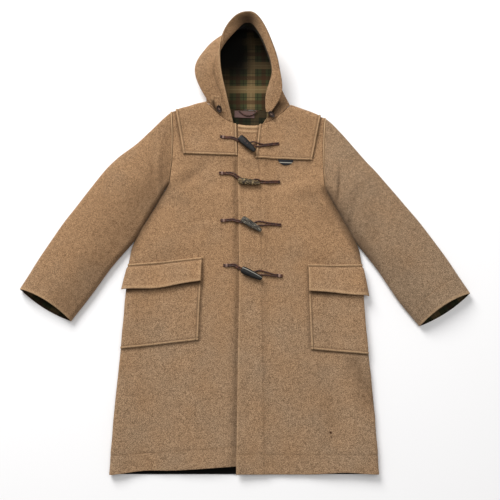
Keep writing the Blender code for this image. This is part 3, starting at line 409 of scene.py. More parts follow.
@dataclass(frozen=True)
class Tape:
    """Woven tape with ribs across it, and an optional pale band along its middle."""

    name: str
    ground: Colour
    rib: Colour
    band: float = 0.0
    pale: Colour = tint(186, 180, 166)

    def material(self) -> Material:
        """The tape's material.

        Returns:
            The finished material.
        """
        graph = Graph(self.name, Specular_IOR_Level=0.3)
        across, along = graph.across_along()
        ribs = (across * 5200.0).wave() * 0.5 + 0.5
        weft = (along * 4200.0).wave() * 0.5 + 0.5
        colour = graph.mix(ribs * weft * 0.5 + graph.noise(400.0) * 0.3, self.ground, self.rib)
        if self.band:
            colour = graph.mix(along.band(1.0, self.band, 0.0022, 0.0006) * 0.75, colour, self.pale)
        graph.bump(ribs * 0.6 + weft * 0.4, 0.0002, 0.7)
        return graph.paint(colour, 0.72 + weft * 0.1)


@dataclass(frozen=True)
class Thread:
    """Twisted sewing thread."""

    name: str
    light: Colour
    dark: Colour

    def material(self) -> Material:
        """The thread's material.

        Returns:
            The finished material.
        """
        graph = Graph(self.name, Specular_IOR_Level=0.3)
        twist = graph.noise(2200.0, 1.0)
        graph.bump(twist, 0.0002)
        return graph.paint(graph.mix(twist, self.dark, self.light), 0.7 + twist * 0.1)


class Finishes:
    """Every finish of the coat, made once."""

    def __init__(self) -> None:
        """Makes the materials."""
        self.wool = Wool().material()
        self.check = Check().material()
        self.leather = Leather().material()
        horns = (
            Horn("grey_black_horn", tint(12, 11, 11), tint(58, 54, 50), tint(36, 33, 30)),
            Horn("mottled_horn", tint(40, 29, 16), tint(190, 164, 118), tint(100, 76, 40), (150.0, 300.0, 300.0)),
            Horn("streaked_horn", tint(20, 17, 14), tint(176, 167, 148), tint(72, 58, 40)),
            Horn("lined_horn", tint(8, 8, 7), tint(46, 43, 38), tint(30, 25, 18), line=0.6958),
            Horn("button_horn", tint(30, 17, 9), tint(84, 60, 42), tint(46, 28, 16), (300.0, 300.0, 300.0)),
        )
        *self.horns, self.button = (horn.material() for horn in horns)
        self.label = Tape("label_tape", tint(16, 16, 18), tint(40, 40, 43), 0.0085).material()
        self.tape = Tape("neck_tape", tint(72, 50, 46), tint(128, 100, 92)).material()
        self.sewing = Thread("camel_thread", tint(198, 162, 122), tint(128, 94, 62)).material()
        self.whipping = Thread("whipping_thread", tint(190, 158, 140), tint(96, 66, 56)).material()


# ---- numbers and curves
def smooth_step(t: Array | float) -> Array:
    """An even rise from 0 to 1."""
    t = np.clip(t, 0.0, 1.0)
    return t * t * (3.0 - 2.0 * t)


def through(knots: Array, values: Array, at: Array) -> Array:
    """A smooth curve through knots, with cubic pieces.

    Args:
        knots: The places of the knots, rising.
        values: The curve's value at each knot. Further axes are carried along.
        at: Where to read the curve.

    Returns:
        The values there.
    """
    knots = np.asarray(knots, float)
    values = np.asarray(values, float)
    at = np.clip(np.asarray(at, float), knots[0], knots[-1])
    slopes = np.gradient(values, knots, axis=0)
    i = np.clip(np.searchsorted(knots, at, side="right") - 1, 0, len(knots) - 2)
    span = knots[i + 1] - knots[i]
    t = (at - knots[i]) / span
    if values.ndim == at.ndim + 1 and values.shape[1:] == at.shape:
        low, high = (np.take_along_axis(values, i[None] + k, 0)[0] for k in (0, 1))
        slope_low, slope_high = (np.take_along_axis(slopes, i[None] + k, 0)[0] for k in (0, 1))
    else:
        low, high, slope_low, slope_high = values[i], values[i + 1], slopes[i], slopes[i + 1]
    return (
        (2 * t**3 - 3 * t**2 + 1) * low
        + (t**3 - 2 * t**2 + t) * span * slope_low
        + (3 * t**2 - 2 * t**3) * high
        + (t**3 - t**2) * span * slope_high
    )


def looked_up(table: Route, at: Array | float, column: int = 1) -> Array:
    """A column of a table, as a smooth curve over its first column."""
    return through([row[0] for row in table], [row[column] for row in table], at)


def quarter_turn(t: Array) -> Array:
    """The height of a quarter circle at a share t of its radius from the edge."""
    return np.sqrt(np.clip(1.0 - (1.0 - np.clip(t, 0.0, 1.0)) ** 2, 0.0, 1.0))


def from_segment(x: Array, y: Array, x0: float, y0: float, x1: float, y1: float) -> tuple[Array, Array]:
    """The distance of points from a segment, and their share along it.

    Args:
        x: Places across.
        y: Places along.
        x0: The segment's start, across.
        y0: Its start, along.
        x1: Its end, across.
        y1: Its end, along.

    Returns:
        The distances in metres and the shares of 0 to 1.
    """
    dx, dy = x1 - x0, y1 - y0
    share = np.clip(((x - x0) * dx + (y - y0) * dy) / (dx * dx + dy * dy), 0.0, 1.0)
    return np.hypot(x - x0 - share * dx, y - y0 - share * dy), share


def hill(distance: Array, half_width: float) -> Array:
    """A soft bell, 1 at no distance."""
    return np.exp(-((distance / half_width) ** 2))


def lengths_along(route: Array) -> Array:
    """How far along a route each of its points is."""
    return np.concatenate([[0], np.cumsum(np.linalg.norm(np.diff(route, axis=0), axis=1))])


def squared_off(wave: Array, power: float) -> Array:
    """A sine or cosine drawn out towards a square one."""
    return np.sign(wave) * np.abs(wave) ** power


def steps_between(start: float, end: float, cell: float) -> Array:
    """Even steps of about one cell from start to end, without the two ends."""
    count = max(int(round(abs(end - start) / cell)), 1)
    return np.linspace(start, end, count + 1)[1:-1]


def fold_steps(radius: float) -> Array:
    """Distances from a folded edge at which a grid has its lines."""
    angles = np.radians([0, 9, 22, 36, 50, 64, 77, 90])
    return radius * (1 - np.cos(angles))


def spread(start: float, end: float, count: int) -> Array:
    """Places from one sewn edge to the other, with an even count between the lines beside them."""
    even = np.linspace(start + EDGE_STEPS[-1], end - EDGE_STEPS[-1], count)
    return np.concatenate([start + EDGE_STEPS[:-1], even, end - EDGE_STEPS[-2::-1]])


def unit(vectors: Array) -> Array:
    """Vectors of length 1."""
    return vectors / np.maximum(np.linalg.norm(vectors, axis=-1, keepdims=True), 1e-12)


# ---- the pattern and how it lies
@dataclass(frozen=True)
class Fold:
    """A soft ridge, or a trough where its height is below 0, along a line of the pattern."""

    x0: float
    y0: float
    x1: float
    y1: float
    half_width: float
    height: float

    def at(self, x: Array, y: Array) -> Array:
        """The fold's height at some places."""
        distance, share = from_segment(x, y, self.x0, self.y0, self.x1, self.y1)
        return self.height * np.sin(math.pi * np.clip(0.12 + 0.76 * share, 0, 1)) * hill(distance, self.half_width)


@dataclass(frozen=True)
class Pattern:
    """The body's cut, and how it lies on the surface."""

    fold: float = 0.0075
    sag: float = 0.0085
    sag_reach: float = 0.085
    hem_y: float = -0.6180
    underarm: Pair = (0.2285, 0.1900)
    shoulder_tip: Pair = (0.2265, 0.4110)
    neck_side: Pair = (0.1260, 0.4450)
    neck_front_y: float = 0.3770
    neck_back_y: float = 0.4300
    neck_curve: float = 2.2
    armhole_bow: float = 0.0050
    lean: float = 0.0100
    tilt: float = 0.0450
    warp: Pair = (-0.2500, 0.4500)
    underlap_x: float = 0.0440
    lap_lift: float = CLOTH + 0.0009
    lap_ramp: float = 0.0240
    yoke_y: float = 0.2780
    yoke_ramp: float = 0.0250
    yoke_gap: float = 0.0040
    right_yoke_y: float = 0.2815
    left_yoke_y: float = 0.2750
    right_yoke_x: float = 0.0295
    left_yoke_x: float = 0.0230
    softer_beside_arm: Pair = (2.6, 1.8)
    sides: Route = ((-0.700, 0.3630), (-0.618, 0.3600), (-0.450, 0.3540), (-0.300, 0.3445), (-0.150, 0.3365),
                    (-0.030, 0.3310), (0.010, 0.3230), (0.050, 0.3030), (0.100, 0.2760), (0.155, 0.2465),
                    (0.190, 0.2285))
    lap: Route = ((-0.618, -0.0216), (-0.300, -0.0180), (-0.100, -0.0162), (0.055, -0.0213), (0.250, -0.0280),
                  (0.380, -0.0293))
    folds: tuple[Fold, ...] = (
        Fold(-0.200, 0.170, -0.105, 0.222, 0.024, 0.0044),
        Fold(-0.212, 0.178, -0.132, 0.240, 0.016, -0.0062),
        Fold(-0.190, 0.110, -0.120, 0.150, 0.030, 0.0024),
        Fold(0.205, 0.180, 0.110, 0.215, 0.024, 0.0028),
        Fold(0.205, 0.150, 0.262, 0.060, 0.024, -0.0032),
        Fold(0.214, 0.176, 0.150, 0.150, 0.016, -0.0034),
        Fold(-0.214, 0.150, -0.150, 0.120, 0.016, -0.0030),
        Fold(-0.235, 0.090, -0.215, -0.010, 0.028, 0.0022),
        Fold(0.282, -0.330, 0.300, -0.600, 0.030, 0.0030),
        Fold(0.226, -0.350, 0.230, -0.600, 0.026, -0.0016),
        Fold(-0.270, -0.330, -0.292, -0.600, 0.034, 0.0026),
        Fold(-0.160, -0.300, -0.150, -0.520, 0.034, 0.0018),
        Fold(0.125, -0.120, 0.118, -0.420, 0.032, 0.0016),
    )
    # Where the hem lifts a little: the middle of the lift, its half width and its height.
    hem_lifts: tuple[Place, ...] = ((-0.100, 0.085, 0.0085), (0.255, 0.070, 0.0090))
    hem_lift_from_y: float = -0.480

    def side_x(self, y: Array) -> Array:
        """Half the body's width."""
        return looked_up(self.sides, y)

    def lap_x(self, y: Array) -> Array:
        """The front edge of the wearer's left front, which lies on top."""
        return looked_up(self.lap, y)

    def armhole_x(self, y: Array) -> Array:
        """The middle of the wall at the armhole.

        Args:
            y: Places along.

        Returns:
            Its distance from the coat's middle.
        """
        middle = (self.shoulder_tip[1] + self.underarm[1]) / 2
        half = (self.shoulder_tip[1] - self.underarm[1]) / 2
        return self.underarm[0] - HALF - self.armhole_bow * (1.0 - ((y - middle) / half) ** 2)

    def edge_x(self, y: Array) -> Array:
        """The body's outer edge: the armhole and then the side."""
        y = np.asarray(y, float)
        return np.where(y > self.underarm[1], self.armhole_x(y), self.side_x(y) - HALF)

    def neck_y(self, x: Array) -> Array:
        """The front neckline."""
        share = np.clip(np.abs(x) / self.neck_side[0], 0.0, 1.0)
        return self.neck_front_y + (self.neck_side[1] - self.neck_front_y) * share**self.neck_curve

    def back_neck_y(self, x: Array) -> Array:
        """The back neckline."""
        share = np.clip(np.abs(x) / self.neck_side[0], 0.0, 1.0)
        return self.neck_back_y + (self.neck_side[1] - self.neck_back_y) * share**2

    def top_y(self, x: Array, neck: Height) -> Array:
        """The upper edge of a body piece: neckline, and shoulder beyond it.

        Args:
            x: Places across, from the middle out.
            neck: The neckline that it follows.

        Returns:
            The edge's places along.
        """
        share = (x - self.neck_side[0]) / (self.shoulder_tip[0] - self.neck_side[0])
        shoulder = self.neck_side[1] + (self.shoulder_tip[1] - self.neck_side[1]) * share
        return np.where(x < self.neck_side[0], neck(x), shoulder)

    def laid(self, points: Array) -> Array:
        """Moves pattern points to where the laid coat has them.

        Args:
            points: Points on the pattern. Only their first two coordinates move.

        Returns:
            The points as the coat lies.
        """
        points = np.array(points, float)
        x, y = points[..., 0], points[..., 1]
        share = smooth_step((y - self.warp[0]) / (self.warp[1] - self.warp[0]))
        moved = points.copy()
        moved[..., 0] = x + self.lean * share
        moved[..., 1] = y - self.tilt * x * share
        return moved

    def from_side(self, x: Array, y: Array) -> Array:
        """Distance from the folded side, which runs from underarm to hem.

        Args:
            x: Places across.
            y: Places along.

        Returns:
            The distances in metres.
        """
        x = np.abs(x)
        ys = np.linspace(self.underarm[1], -0.70, 48)
        line = list(zip(self.side_x(ys) - HALF, ys))
        nearest = np.full(np.broadcast(x, y).shape, 1.0)
        for start, end in zip(line[:-1], line[1:]):
            nearest = np.minimum(nearest, from_segment(x, y, *start, *end)[0])
        return nearest

    def from_shoulder(self, x: Array, y: Array) -> Array:
        """Distance from the folded shoulder."""
        return from_segment(np.abs(x), y, *self.neck_side, *self.shoulder_tip)[0]

    def floor_z(self, y: Array) -> Array:
        """The back panel's height: it lies on the yoke's back, and then on the surface."""
        start = self.yoke_y - self.yoke_gap - self.yoke_ramp
        return HALF + LAYER * smooth_step((y - start) / self.yoke_ramp)

    def back_z(self, x: Array, y: Array) -> Array:
        """The height of the back, middle of its wall."""
        turned = quarter_turn(self.from_side(x, y) / self.fold) * quarter_turn(self.from_shoulder(x, y) / self.fold)
        return self.floor_z(y) + self.fold * (1.0 - turned)

    def front_z(self, x: Array, y: Array) -> Array:
        """The height of the fronts, middle of their wall, without the lap.

        Args:
            x: Places across.
            y: Places along.

        Returns:
            The heights in metres.
        """
        side, shoulder = self.from_side(x, y), self.from_shoulder(x, y)
        beside_arm = smooth_step((y + 0.06) / 0.08) * smooth_step((0.215 - y) / 0.06)
        side = side / (1 + np.where(x > 0, *self.softer_beside_arm) * beside_arm)
        inside = np.minimum(side, shoulder)
        height = 2 * self.fold - self.sag * smooth_step((inside - self.fold) / self.sag_reach)
        fade = smooth_step(inside / 0.03)
        for fold in self.folds:
            height = height + fold.at(x, y) * fade
        near_hem = smooth_step((self.hem_lift_from_y - y) / (self.hem_lift_from_y - self.hem_y))
        for centre, half_width, lift in self.hem_lifts:
            height = height + lift * near_hem * hill(x - centre, half_width)
        turned = quarter_turn(side / self.fold) * quarter_turn(shoulder / self.fold)
        return self.floor_z(y) + SEAM + self.fold + (height - self.fold) * turned

    def lap_z(self, x: Array, y: Array) -> Array:
        """The height of the wearer's left front, which laps over the right one."""
        over = 1.0 - smooth_step((x - self.underlap_x - 0.002) / self.lap_ramp)
        return self.front_z(x, y) + self.lap_lift * over

    def moved_out(self, height: Height, x: Array, y: Array, amount: Array | float) -> Array:
        """Points of a height field, moved along its normal.

        Args:
            height: The height field.
            x: Places across.
            y: Places along.
            amount: How far to move each point.

        Returns:
            The points, on the pattern.
        """
        step = 4e-6
        x_in = x - 1.5 * step * np.sign(x)
        y_in = y - 1.5 * step * np.sign(y - self.yoke_y)
        slope_x = (height(x_in + step / 2, y_in) - height(x_in - step / 2, y_in)) / step
        slope_y = (height(x_in, y_in + step / 2) - height(x_in, y_in - step / 2)) / step
        normal = unit(np.stack([-slope_x, -slope_y, np.ones_like(slope_x)], axis=-1))
        points = np.stack([x, y, height(x, y)], axis=-1)
        return points + normal * np.broadcast_to(amount, x.shape)[..., None]

    def cloth_top(self, x: Array, y: Array) -> Array:
        """The upper face of the coat at a place on its fronts.

        Args:
            x: Places across.
            y: Places along.

        Returns:
            The heights in metres.
        """
        z = np.where(x > self.lap_x(y), self.lap_z(x, y), self.front_z(x, y)) + HALF
        on_right = (y > self.right_yoke_y) & (x < -self.right_yoke_x)
        on_left = (y > self.left_yoke_y) & (x > self.left_yoke_x)
        return z + np.where(on_right | on_left, LAYER, 0.0)


# ---- mesh building
@dataclass(frozen=True)
class Rounding:
    """How far a shell's edges are rounded back, in metres."""

    top: float = 0.0012
    bottom: float = 0.0012
    start: float = 0.0012
    end: float = 0.0012


@dataclass
class Marks:
    """What a wool shell tells its finish, point by point."""

    # Paler ridges and edges: partly wear, partly a painted highlight.
    lightened: Array | float = 0.0
    # Painted shade in creases, grooves and beside layers.
    painted_shade: Array | float = 0.0
    cool: Array | float = 0.0
    # Painted shade on the check of the inner face.
    deep: Array | float = 0.0


def placed(name: str, data: bpy.types.ID) -> Piece:
    """A new object of some data, linked to the scene.

    Args:
        name: The object's name.
        data: Its mesh, light or camera.

    Returns:
        The object.
    """
    made = bpy.data.objects.new(name, data)
    bpy.context.scene.collection.objects.link(made)
    return made


def make_piece(
    name: str,
    points: Array,
    faces: list[Any],
    finishes: list[Material],
    slot: str,
    face_finish: Array | None = None,
    cut: Array | None = None,
    marks: dict[str, Array] | None = None,
) -> Piece:
    """Makes a mesh piece that rides on the coat.

    Args:
        name: The piece's name.
        points: Its points.
        faces: Its faces, as point numbers.
        finishes: Its materials.
        slot: Not used.
        face_finish: The number of each face's material.
        cut: Each point's place on the flat cut, in metres.
        marks: Numbers for each point.

    Returns:
        The piece.
    """
    mesh = bpy.data.meshes.new(name)
    mesh.from_pydata(points.tolist(), [], [list(map(int, face)) for face in faces])
    for finish in finishes:
        mesh.materials.append(finish)
    if face_finish is not None:
        mesh.polygons.foreach_set("material_index", np.asarray(face_finish, np.int32))
    if cut is None:
        cut = points[:, :2]
    corner = np.zeros(len(mesh.loops), np.int32)
    mesh.loops.foreach_get("vertex_index", corner)
    mesh.uv_layers.new(name="cut").data.foreach_set("uv", cut[corner].astype(np.float32).ravel())
    for key, values in (marks or {}).items():
        mesh.attributes.new(key, "FLOAT", "POINT").data.foreach_set("value", np.asarray(values, np.float32))
    mesh.shade_smooth()
    mesh.update()
    piece = placed(name, mesh)
    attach(piece, "root")
    log.info("%s: %d points, %d faces", name, len(points), len(faces))
    return piece


@dataclass
class Shell:
    """A sheet of cloth with two faces and rounded edges, on one grid of rows and columns."""

    name: str
    outer: Array
    inner: Array
    marks: Marks = field(default_factory=Marks)
    rounding: Rounding = field(default_factory=Rounding)
    cut: Array | None = None
    rim_angles: tuple[float, ...] = (54.0, 18.0, -18.0, -54.0)

    def rim(self) -> tuple[Array, Array]:
        """Rows and columns of the grid's outermost points, in order round it.

        Returns:
            The rows and the columns.
        """
        rows, columns = self.outer.shape[:2]
        places = [(0, c) for c in range(columns)]
        places += [(r, columns - 1) for r in range(1, rows)]
        places += [(rows - 1, c) for c in range(columns - 2, -1, -1)]
        places += [(r, 0) for r in range(rows - 2, 0, -1)]
        found = np.array(places)
        return found[:, 0], found[:, 1]

    def pushed(self) -> Array:
        """How far, and which way, each outermost point is drawn back for the rounding.

        Returns:
            A vector for each point of the grid, 0 inside it.
        """
        middle = (self.outer + self.inner) / 2
        push = np.zeros_like(middle)
        whole = slice(None)
        for edge, beside, amount in (
            ((0, whole), (1, whole), self.rounding.top),
            ((-1, whole), (-2, whole), self.rounding.bottom),
            ((whole, 0), (whole, 1), self.rounding.start),
            ((whole, -1), (whole, -2), self.rounding.end),
        ):
            push[edge] += unit(middle[edge] - middle[beside]) * amount
        return push

    def build(self, finishes: list[Material], slot: str = "wool") -> None:
        """Makes the piece, which replaces the solid of its name.

        Args:
            finishes: One or two materials. The second, if there is one, is the inner face's.
            slot: Passed on, but not used.
        """
        rows, columns = self.outer.shape[:2]
        count = rows * columns
        push = self.pushed()
        middle = (self.outer + self.inner) / 2 - push
        thick = (self.outer - self.inner) / 2
        r, c = self.rim()
        rim = r * columns + c
        loops = []
        for angle in np.radians(self.rim_angles):
            loops.append(middle[r, c] + push[r, c] * math.cos(angle) + thick[r, c] * math.sin(angle))
        points = np.concatenate([(middle + thick).reshape(-1, 3), (middle - thick).reshape(-1, 3), *loops])
        number = np.arange(count).reshape(rows, columns)
        quads = np.stack([number[:-1, :-1], number[:-1, 1:], number[1:, 1:], number[1:, :-1]], -1).reshape(-1, 4)
        chain = [rim, *(2 * count + k * len(rim) + np.arange(len(rim)) for k in range(len(loops))), rim + count]
        faces = [quads, quads[:, ::-1] + count]
        for near, far in zip(chain[:-1], chain[1:]):
            faces.append(np.stack([np.roll(near, -1), near, far, np.roll(far, -1)], -1))
        faces = np.concatenate(faces)
        corners = points[faces]
        volume = np.einsum("ij,ij->i", corners[:, 0], np.cross(corners[:, 1], corners[:, 2])).sum()
        volume += np.einsum("ij,ij->i", corners[:, 0], np.cross(corners[:, 2], corners[:, 3])).sum()
        if volume < 0:
            faces = faces[:, ::-1]
        source = np.concatenate([np.arange(count), np.arange(count), *[rim] * len(loops)])
        face_finish = np.zeros(len(faces), np.int32)
        if len(finishes) > 1:
            face_finish[len(quads) : 2 * len(quads)] = 1
            face_finish[-2 * len(rim) :] = 1
        cut = self.middle_cut() if self.cut is None else self.cut
        marks = {}
        for key in ("lightened", "painted_shade", "cool", "deep"):
            marks[key] = np.broadcast_to(getattr(self.marks, key), (rows, columns)).reshape(-1)[source]
        piece = make_piece(f"{self.name}_cloth", points, list(faces), finishes, slot, face_finish,
                           cut.reshape(-1, 2)[source], marks)
        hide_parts(self.name)

    def middle_cut(self) -> Array:
        """Lengths along the grid's own lines, as places on the flat cut.

        Returns:
            Each point's place, in metres.
        """
        middle = (self.outer + self.inner) / 2
        across = np.linalg.norm(np.diff(middle, axis=1), axis=-1).mean(axis=0)
        along = np.linalg.norm(np.diff(middle, axis=0), axis=-1).mean(axis=1)
        us, vs = np.concatenate([[0], np.cumsum(across)]), np.concatenate([[0], np.cumsum(along)])
        return np.stack(np.meshgrid(us, vs), axis=-1)


def smoothed(route: Array, step: float) -> Array:
    """A smooth curve through a route's points, at even steps.

    Args:
        route: The points that it goes through.
        step: The distance from point to point.

    Returns:
        The curve's points.
    """
    lengths = lengths_along(route)
    at = np.linspace(0, lengths[-1], max(int(lengths[-1] / step) + 1, 4))
    return np.stack([through(lengths, route[:, i], at) for i in range(3)], axis=-1)


def normals_of(place: Callable[[Array, Array], Array], a: Array, b: Array, steps: Pair, last: Pair) -> Array:
    """The normals of a surface, from its slopes along its two numbers.

    Args:
        place: Gives the surface's points from the two numbers.
        a: The first number.
        b: The second number.
        steps: How far to step each number for its slope.
        last: Each number's highest value. The lowest is 0.

    Returns:
        Vectors of length 1.
    """
    low_a, high_a = (np.clip(a + step, 0, last[0]) for step in (-steps[0], steps[0]))
    low_b, high_b = (np.clip(b + step, 0, last[1]) for step in (-steps[1], steps[1]))
    return unit(np.cross(place(high_a, b) - place(low_a, b), place(a, high_b) - place(a, low_b)))


def ring_faces(rings: int, sides: int, start: int = 0) -> Faces:
    """Faces of a stack of rings, closed at both ends.

    Args:
        rings: How many rings there are.
        sides: How many points each has.
        start: The number of the first point.

    Returns:
        The faces, as point numbers.
    """
    faces = []
    for r in range(rings - 1):
        for i in range(sides):
            j = (i + 1) % sides
            low, high = start + r * sides, start + (r + 1) * sides
            faces.append([low + i, low + j, high + j, high + i])
    last = start + (rings - 1) * sides
    faces.append(list(range(start, start + sides))[::-1])
    faces.append(list(range(last, last + sides)))
    return faces


def tube(route: Array, radii: Array | float, sides: int) -> tuple[Array, Faces, Array]:
    """A round cord along a route, with rounded ends.

    Args:
        route: The points that it follows.
        radii: Its radius, or one for each point.
        sides: How many sides it has.

    Returns:
        Its points, its faces and each point's place along and round it.
    """
    route = np.asarray(route, float)
    radii = np.broadcast_to(radii, len(route)).astype(float)
    along = unit(np.gradient(route, axis=0))
    lengths = lengths_along(route)
    stations = [(route[0] - along[0] * radii[0] * 0.8, along[0], radii[0] * 0.45, 0.0)]
    stations += [(route[0] - along[0] * radii[0] * 0.45, along[0], radii[0] * 0.85, 0.0)]
    stations += list(zip(route, along, radii, lengths))
    stations += [(route[-1] + along[-1] * radii[-1] * 0.45, along[-1], radii[-1] * 0.85, lengths[-1])]
    stations += [(route[-1] + along[-1] * radii[-1] * 0.8, along[-1], radii[-1] * 0.45, lengths[-1])]
    angles = 2 * math.pi * np.arange(sides) / sides
    across = np.cross(along[0], (1.0, 0.0, 0.0) if abs(along[0][2]) > 0.9 else (0.0, 0.0, 1.0))
    points, cut = [], []
    for point, forward, radius, length in stations:
        across = unit(across - forward * np.dot(across, forward))
        up = np.cross(across, forward)
        points.append(point + radius * (np.cos(angles)[:, None] * across + np.sin(angles)[:, None] * up))
        cut.append(np.stack([np.full(sides, length), np.abs(angles - math.pi) * radius], axis=-1))
    return np.concatenate(points), ring_faces(len(stations), sides), np.concatenate(cut)


def joined(tubes: list[tuple[Array, Faces, Array]]) -> tuple[Array, Faces]:
    """The points and the faces of some tubes, as one mesh.

    Args:
        tubes: What tube gave for each of them.

    Returns:
        All their points and faces.
    """
    points, faces, total = [], [], 0
    for more, more_faces, _ in tubes:
        points.append(more)
        faces += [[i + total for i in face] for face in more_faces]
        total += len(more)
    return np.concatenate(points), faces


def stitches(lines: list[Array], pitch: float = 0.0042, length: float = 0.0031, radius: float = 0.00042) -> Any:
    """Sewn stitches along some lines.

    Args:
        lines: The lines, as points on the cloth.
        pitch: The distance from stitch to stitch.
        length: The length of one stitch.
        radius: Half its thickness.

    Returns:
        The points and faces of all the stitches.
    """
    starts, ends = [], []
    for line in lines:
        line = np.asarray(line, float)
        lengths = lengths_along(line)
        at = np.arange(pitch / 2, lengths[-1] - length, pitch)
        starts.append(np.stack([np.interp(at, lengths, line[:, i]) for i in range(3)], axis=-1))
        ends.append(np.stack([np.interp(at + length, lengths, line[:, i]) for i in range(3)], axis=-1))
    start, end = np.concatenate(starts), np.concatenate(ends)
    forward = unit(end - start)
    across = unit(np.cross(forward, (0.0, 0.0, 1.0)) + 1e-9)
    up = np.cross(across, forward)
    sides = 5
    angles = 2 * math.pi * np.arange(sides) / sides
    ring = np.cos(angles)[None, :, None] * across[:, None] + np.sin(angles)[None, :, None] * up[:, None]
    rings = []
    for share, size in ((0.0, 0.35), (0.2, 1.0), (0.8, 1.0), (1.0, 0.35)):
        rings.append((start + (end - start) * share)[:, None] + ring * radius * size)
    points = np.stack(rings, axis=1).reshape(-1, 3)
    faces = []
    for k in range(len(start)):
        faces += ring_faces(4, sides, k * 4 * sides)
    return points, faces


# ---- the body
class Wearer(Enum):
    """A side of the coat, as its wearer has it."""

    RIGHT = -1
    LEFT = 1


@dataclass
class Cloth:
    """What every wool part of the coat needs: its pattern, its finishes and its side."""

    pattern: Pattern
    finishes: Finishes
    wearer: Wearer = Wearer.LEFT
    edge_stitch: float = 0.0070
    stitch_depth: float = 0.0011
    stitch_half_width: float = 0.0020
    stitch_rise: float = 0.0003
    welt_at: float = 0.0036
    welt_half_width: float = 0.0032
    welt_rise: float = 0.0020
    cool_from_y: float = 0.05
    cool_over: float = 0.40
    sewn: list[Array] = field(default_factory=list)

    @property
    def side(self) -> int:
        """-1 on the wearer's right and 1 on their left."""
        return self.wearer.value

    @property
    def label(self) -> str:
        """The side's name, as the pieces have it."""
        return self.wearer.name.lower()

    def in_groove(self, lift: float) -> float:
        """How high stitches lie that are sewn into a layer at a lift."""
        return lift + HALF - self.stitch_depth + self.stitch_rise

    def groove(self, distance: Array) -> Array:
        """1 along a line of stitching, fading beside it."""
        return hill(distance, self.stitch_half_width)

    def welt(self, distance: Array) -> Array:
        """1 on the rolled strip between an edge and its stitching."""
        return hill(distance - self.welt_at, self.welt_half_width)

    def edged(self, *distances: Array) -> tuple[Array, Marks]:
        """Relief and marks of stitched edges.

        Args:
            distances: Each point's distance from each stitched edge.

        Returns:
            The relief in metres, and what the finish is told.
        """
        grooves = np.max([self.groove(d - self.edge_stitch) for d in distances], axis=0)
        welts = np.max([self.welt(d) for d in distances], axis=0)
        # The rolled strips are paler, partly wear and partly a painted highlight; the stitch grooves take painted
        # shade.
        marks = Marks(lightened=welts * 0.42, painted_shade=grooves * 0.60)
        return self.welt_rise * welts - self.stitch_depth * grooves, marks

    def coolness(self, y: Array) -> Array:
        """How much greyer the wool is towards the hem."""
        return 0.55 * smooth_step((self.cool_from_y - y) / self.cool_over)

    def on(
        self, name: str, x: Array, y: Array, height: Height, lift: Array | float, relief: Array | float = 0.0,
        marks: Marks | None = None, cloth: float = CLOTH, rounding: Rounding | None = None,
    ) -> Shell:
        """A shell that follows a height field, the middle of its wall lift above it.

        Args:
            name: The piece's name.
            x: Places across.
            y: Places along.
            height: The height field.
            lift: How far the wall's middle is above it.
            relief: What is added to the outer face.
            marks: What the finish is told.
            cloth: The wall's thickness.
            rounding: How its edges are rounded.

        Returns:
            The shell.
        """
        outer = self.pattern.moved_out(height, x, y, np.broadcast_to(lift, x.shape) + cloth / 2 + relief)
        inner = self.pattern.moved_out(height, x, y, np.broadcast_to(lift, x.shape) - cloth / 2)
        marks = marks or Marks()
        marks.cool = self.coolness(y)
        cut = np.stack([x, y], axis=-1)
        return Shell(name, self.pattern.laid(outer), self.pattern.laid(inner), marks, rounding or Rounding(), cut)

    def under(self, name: str, x: Array, y: Array, height: Height, lift: float, rounding: Rounding) -> Shell:
        """The same for a shell whose outer face looks down at the surface.

        Args:
            name: The piece's name.
            x: Places across.
            y: Places along.
            height: The height field.
            lift: How far the wall's middle is below it.
            rounding: How its edges are rounded.

        Returns:
            The shell.
        """
        faces = []
        for side in (lift + HALF, lift - HALF):
            face = self.pattern.moved_out(lambda a, b: -height(a, b), x, y, side)
            face[..., 2] *= -1
            faces.append(self.pattern.laid(face))
        faces[0][..., 2] = np.maximum(faces[0][..., 2], 0.0)
        marks = Marks(cool=self.coolness(y))
        return Shell(name, faces[0], faces[1], marks, rounding, np.stack([x, y], axis=-1))

    def upper_rows(self, top: Array, low: Array, neck: Height, low_y: float, cell: float) -> tuple[list, list]:
        """A body panel's rows from neck and shoulder down to its yoke line.

        Args:
            top: Places across along the top.
            low: Places across at the yoke line.
            neck: The neckline.
            low_y: The yoke line.
            cell: The distance from row to row.

        Returns:
            Each row's places across and along.
        """
        pattern = self.pattern
        top_y = pattern.top_y(top, neck)
        length = pattern.shoulder_tip[1] - low_y
        turn = fold_steps(pattern.fold) / length
        xs, ys = [], []
        for share in np.concatenate([turn, steps_between(turn[-1], 1.0, cell / length), [1.0]]):
            x = top + (low - top) * share
            y = top_y + (low_y - top_y) * share
            xs.append(x + (pattern.edge_x(y[-1]) - x[-1]) * (x - x[0]) / (x[-1] - x[0]))
            ys.append(y)
        return xs, ys

    def yoke_grid(self, top: Array, low: Array, neck: Height, low_y: float, cell: float) -> tuple[Array, Array]:
        """The grid of a yoke, from neck and shoulder to its free lower edge.

        Args:
            top: Places across along the top.
            low: Places across along the lower edge.
            neck: The neckline.
            low_y: The lower edge.
            cell: The distance from row to row.

        Returns:
            Each point's places across and along.
        """
        length = self.pattern.shoulder_tip[1] - low_y
        turn, edge = fold_steps(self.pattern.fold) / length, EDGE_STEPS / length
        shares = np.concatenate([turn, steps_between(turn[-1], 1 - edge[-1], cell / length), 1 - edge[::-1]])[:, None]
        top_y = self.pattern.top_y(np.abs(top), neck)
        return top + (low - top) * shares, top_y + (low_y - top_y) * shares

    def seam_line(self, x: Array, y: Array, height: Height, lift: float) -> None:
        """Sews a line of stitches at a lift above a height field."""
        self.sewn.append(self.pattern.laid(self.pattern.moved_out(height, x, y, lift)))

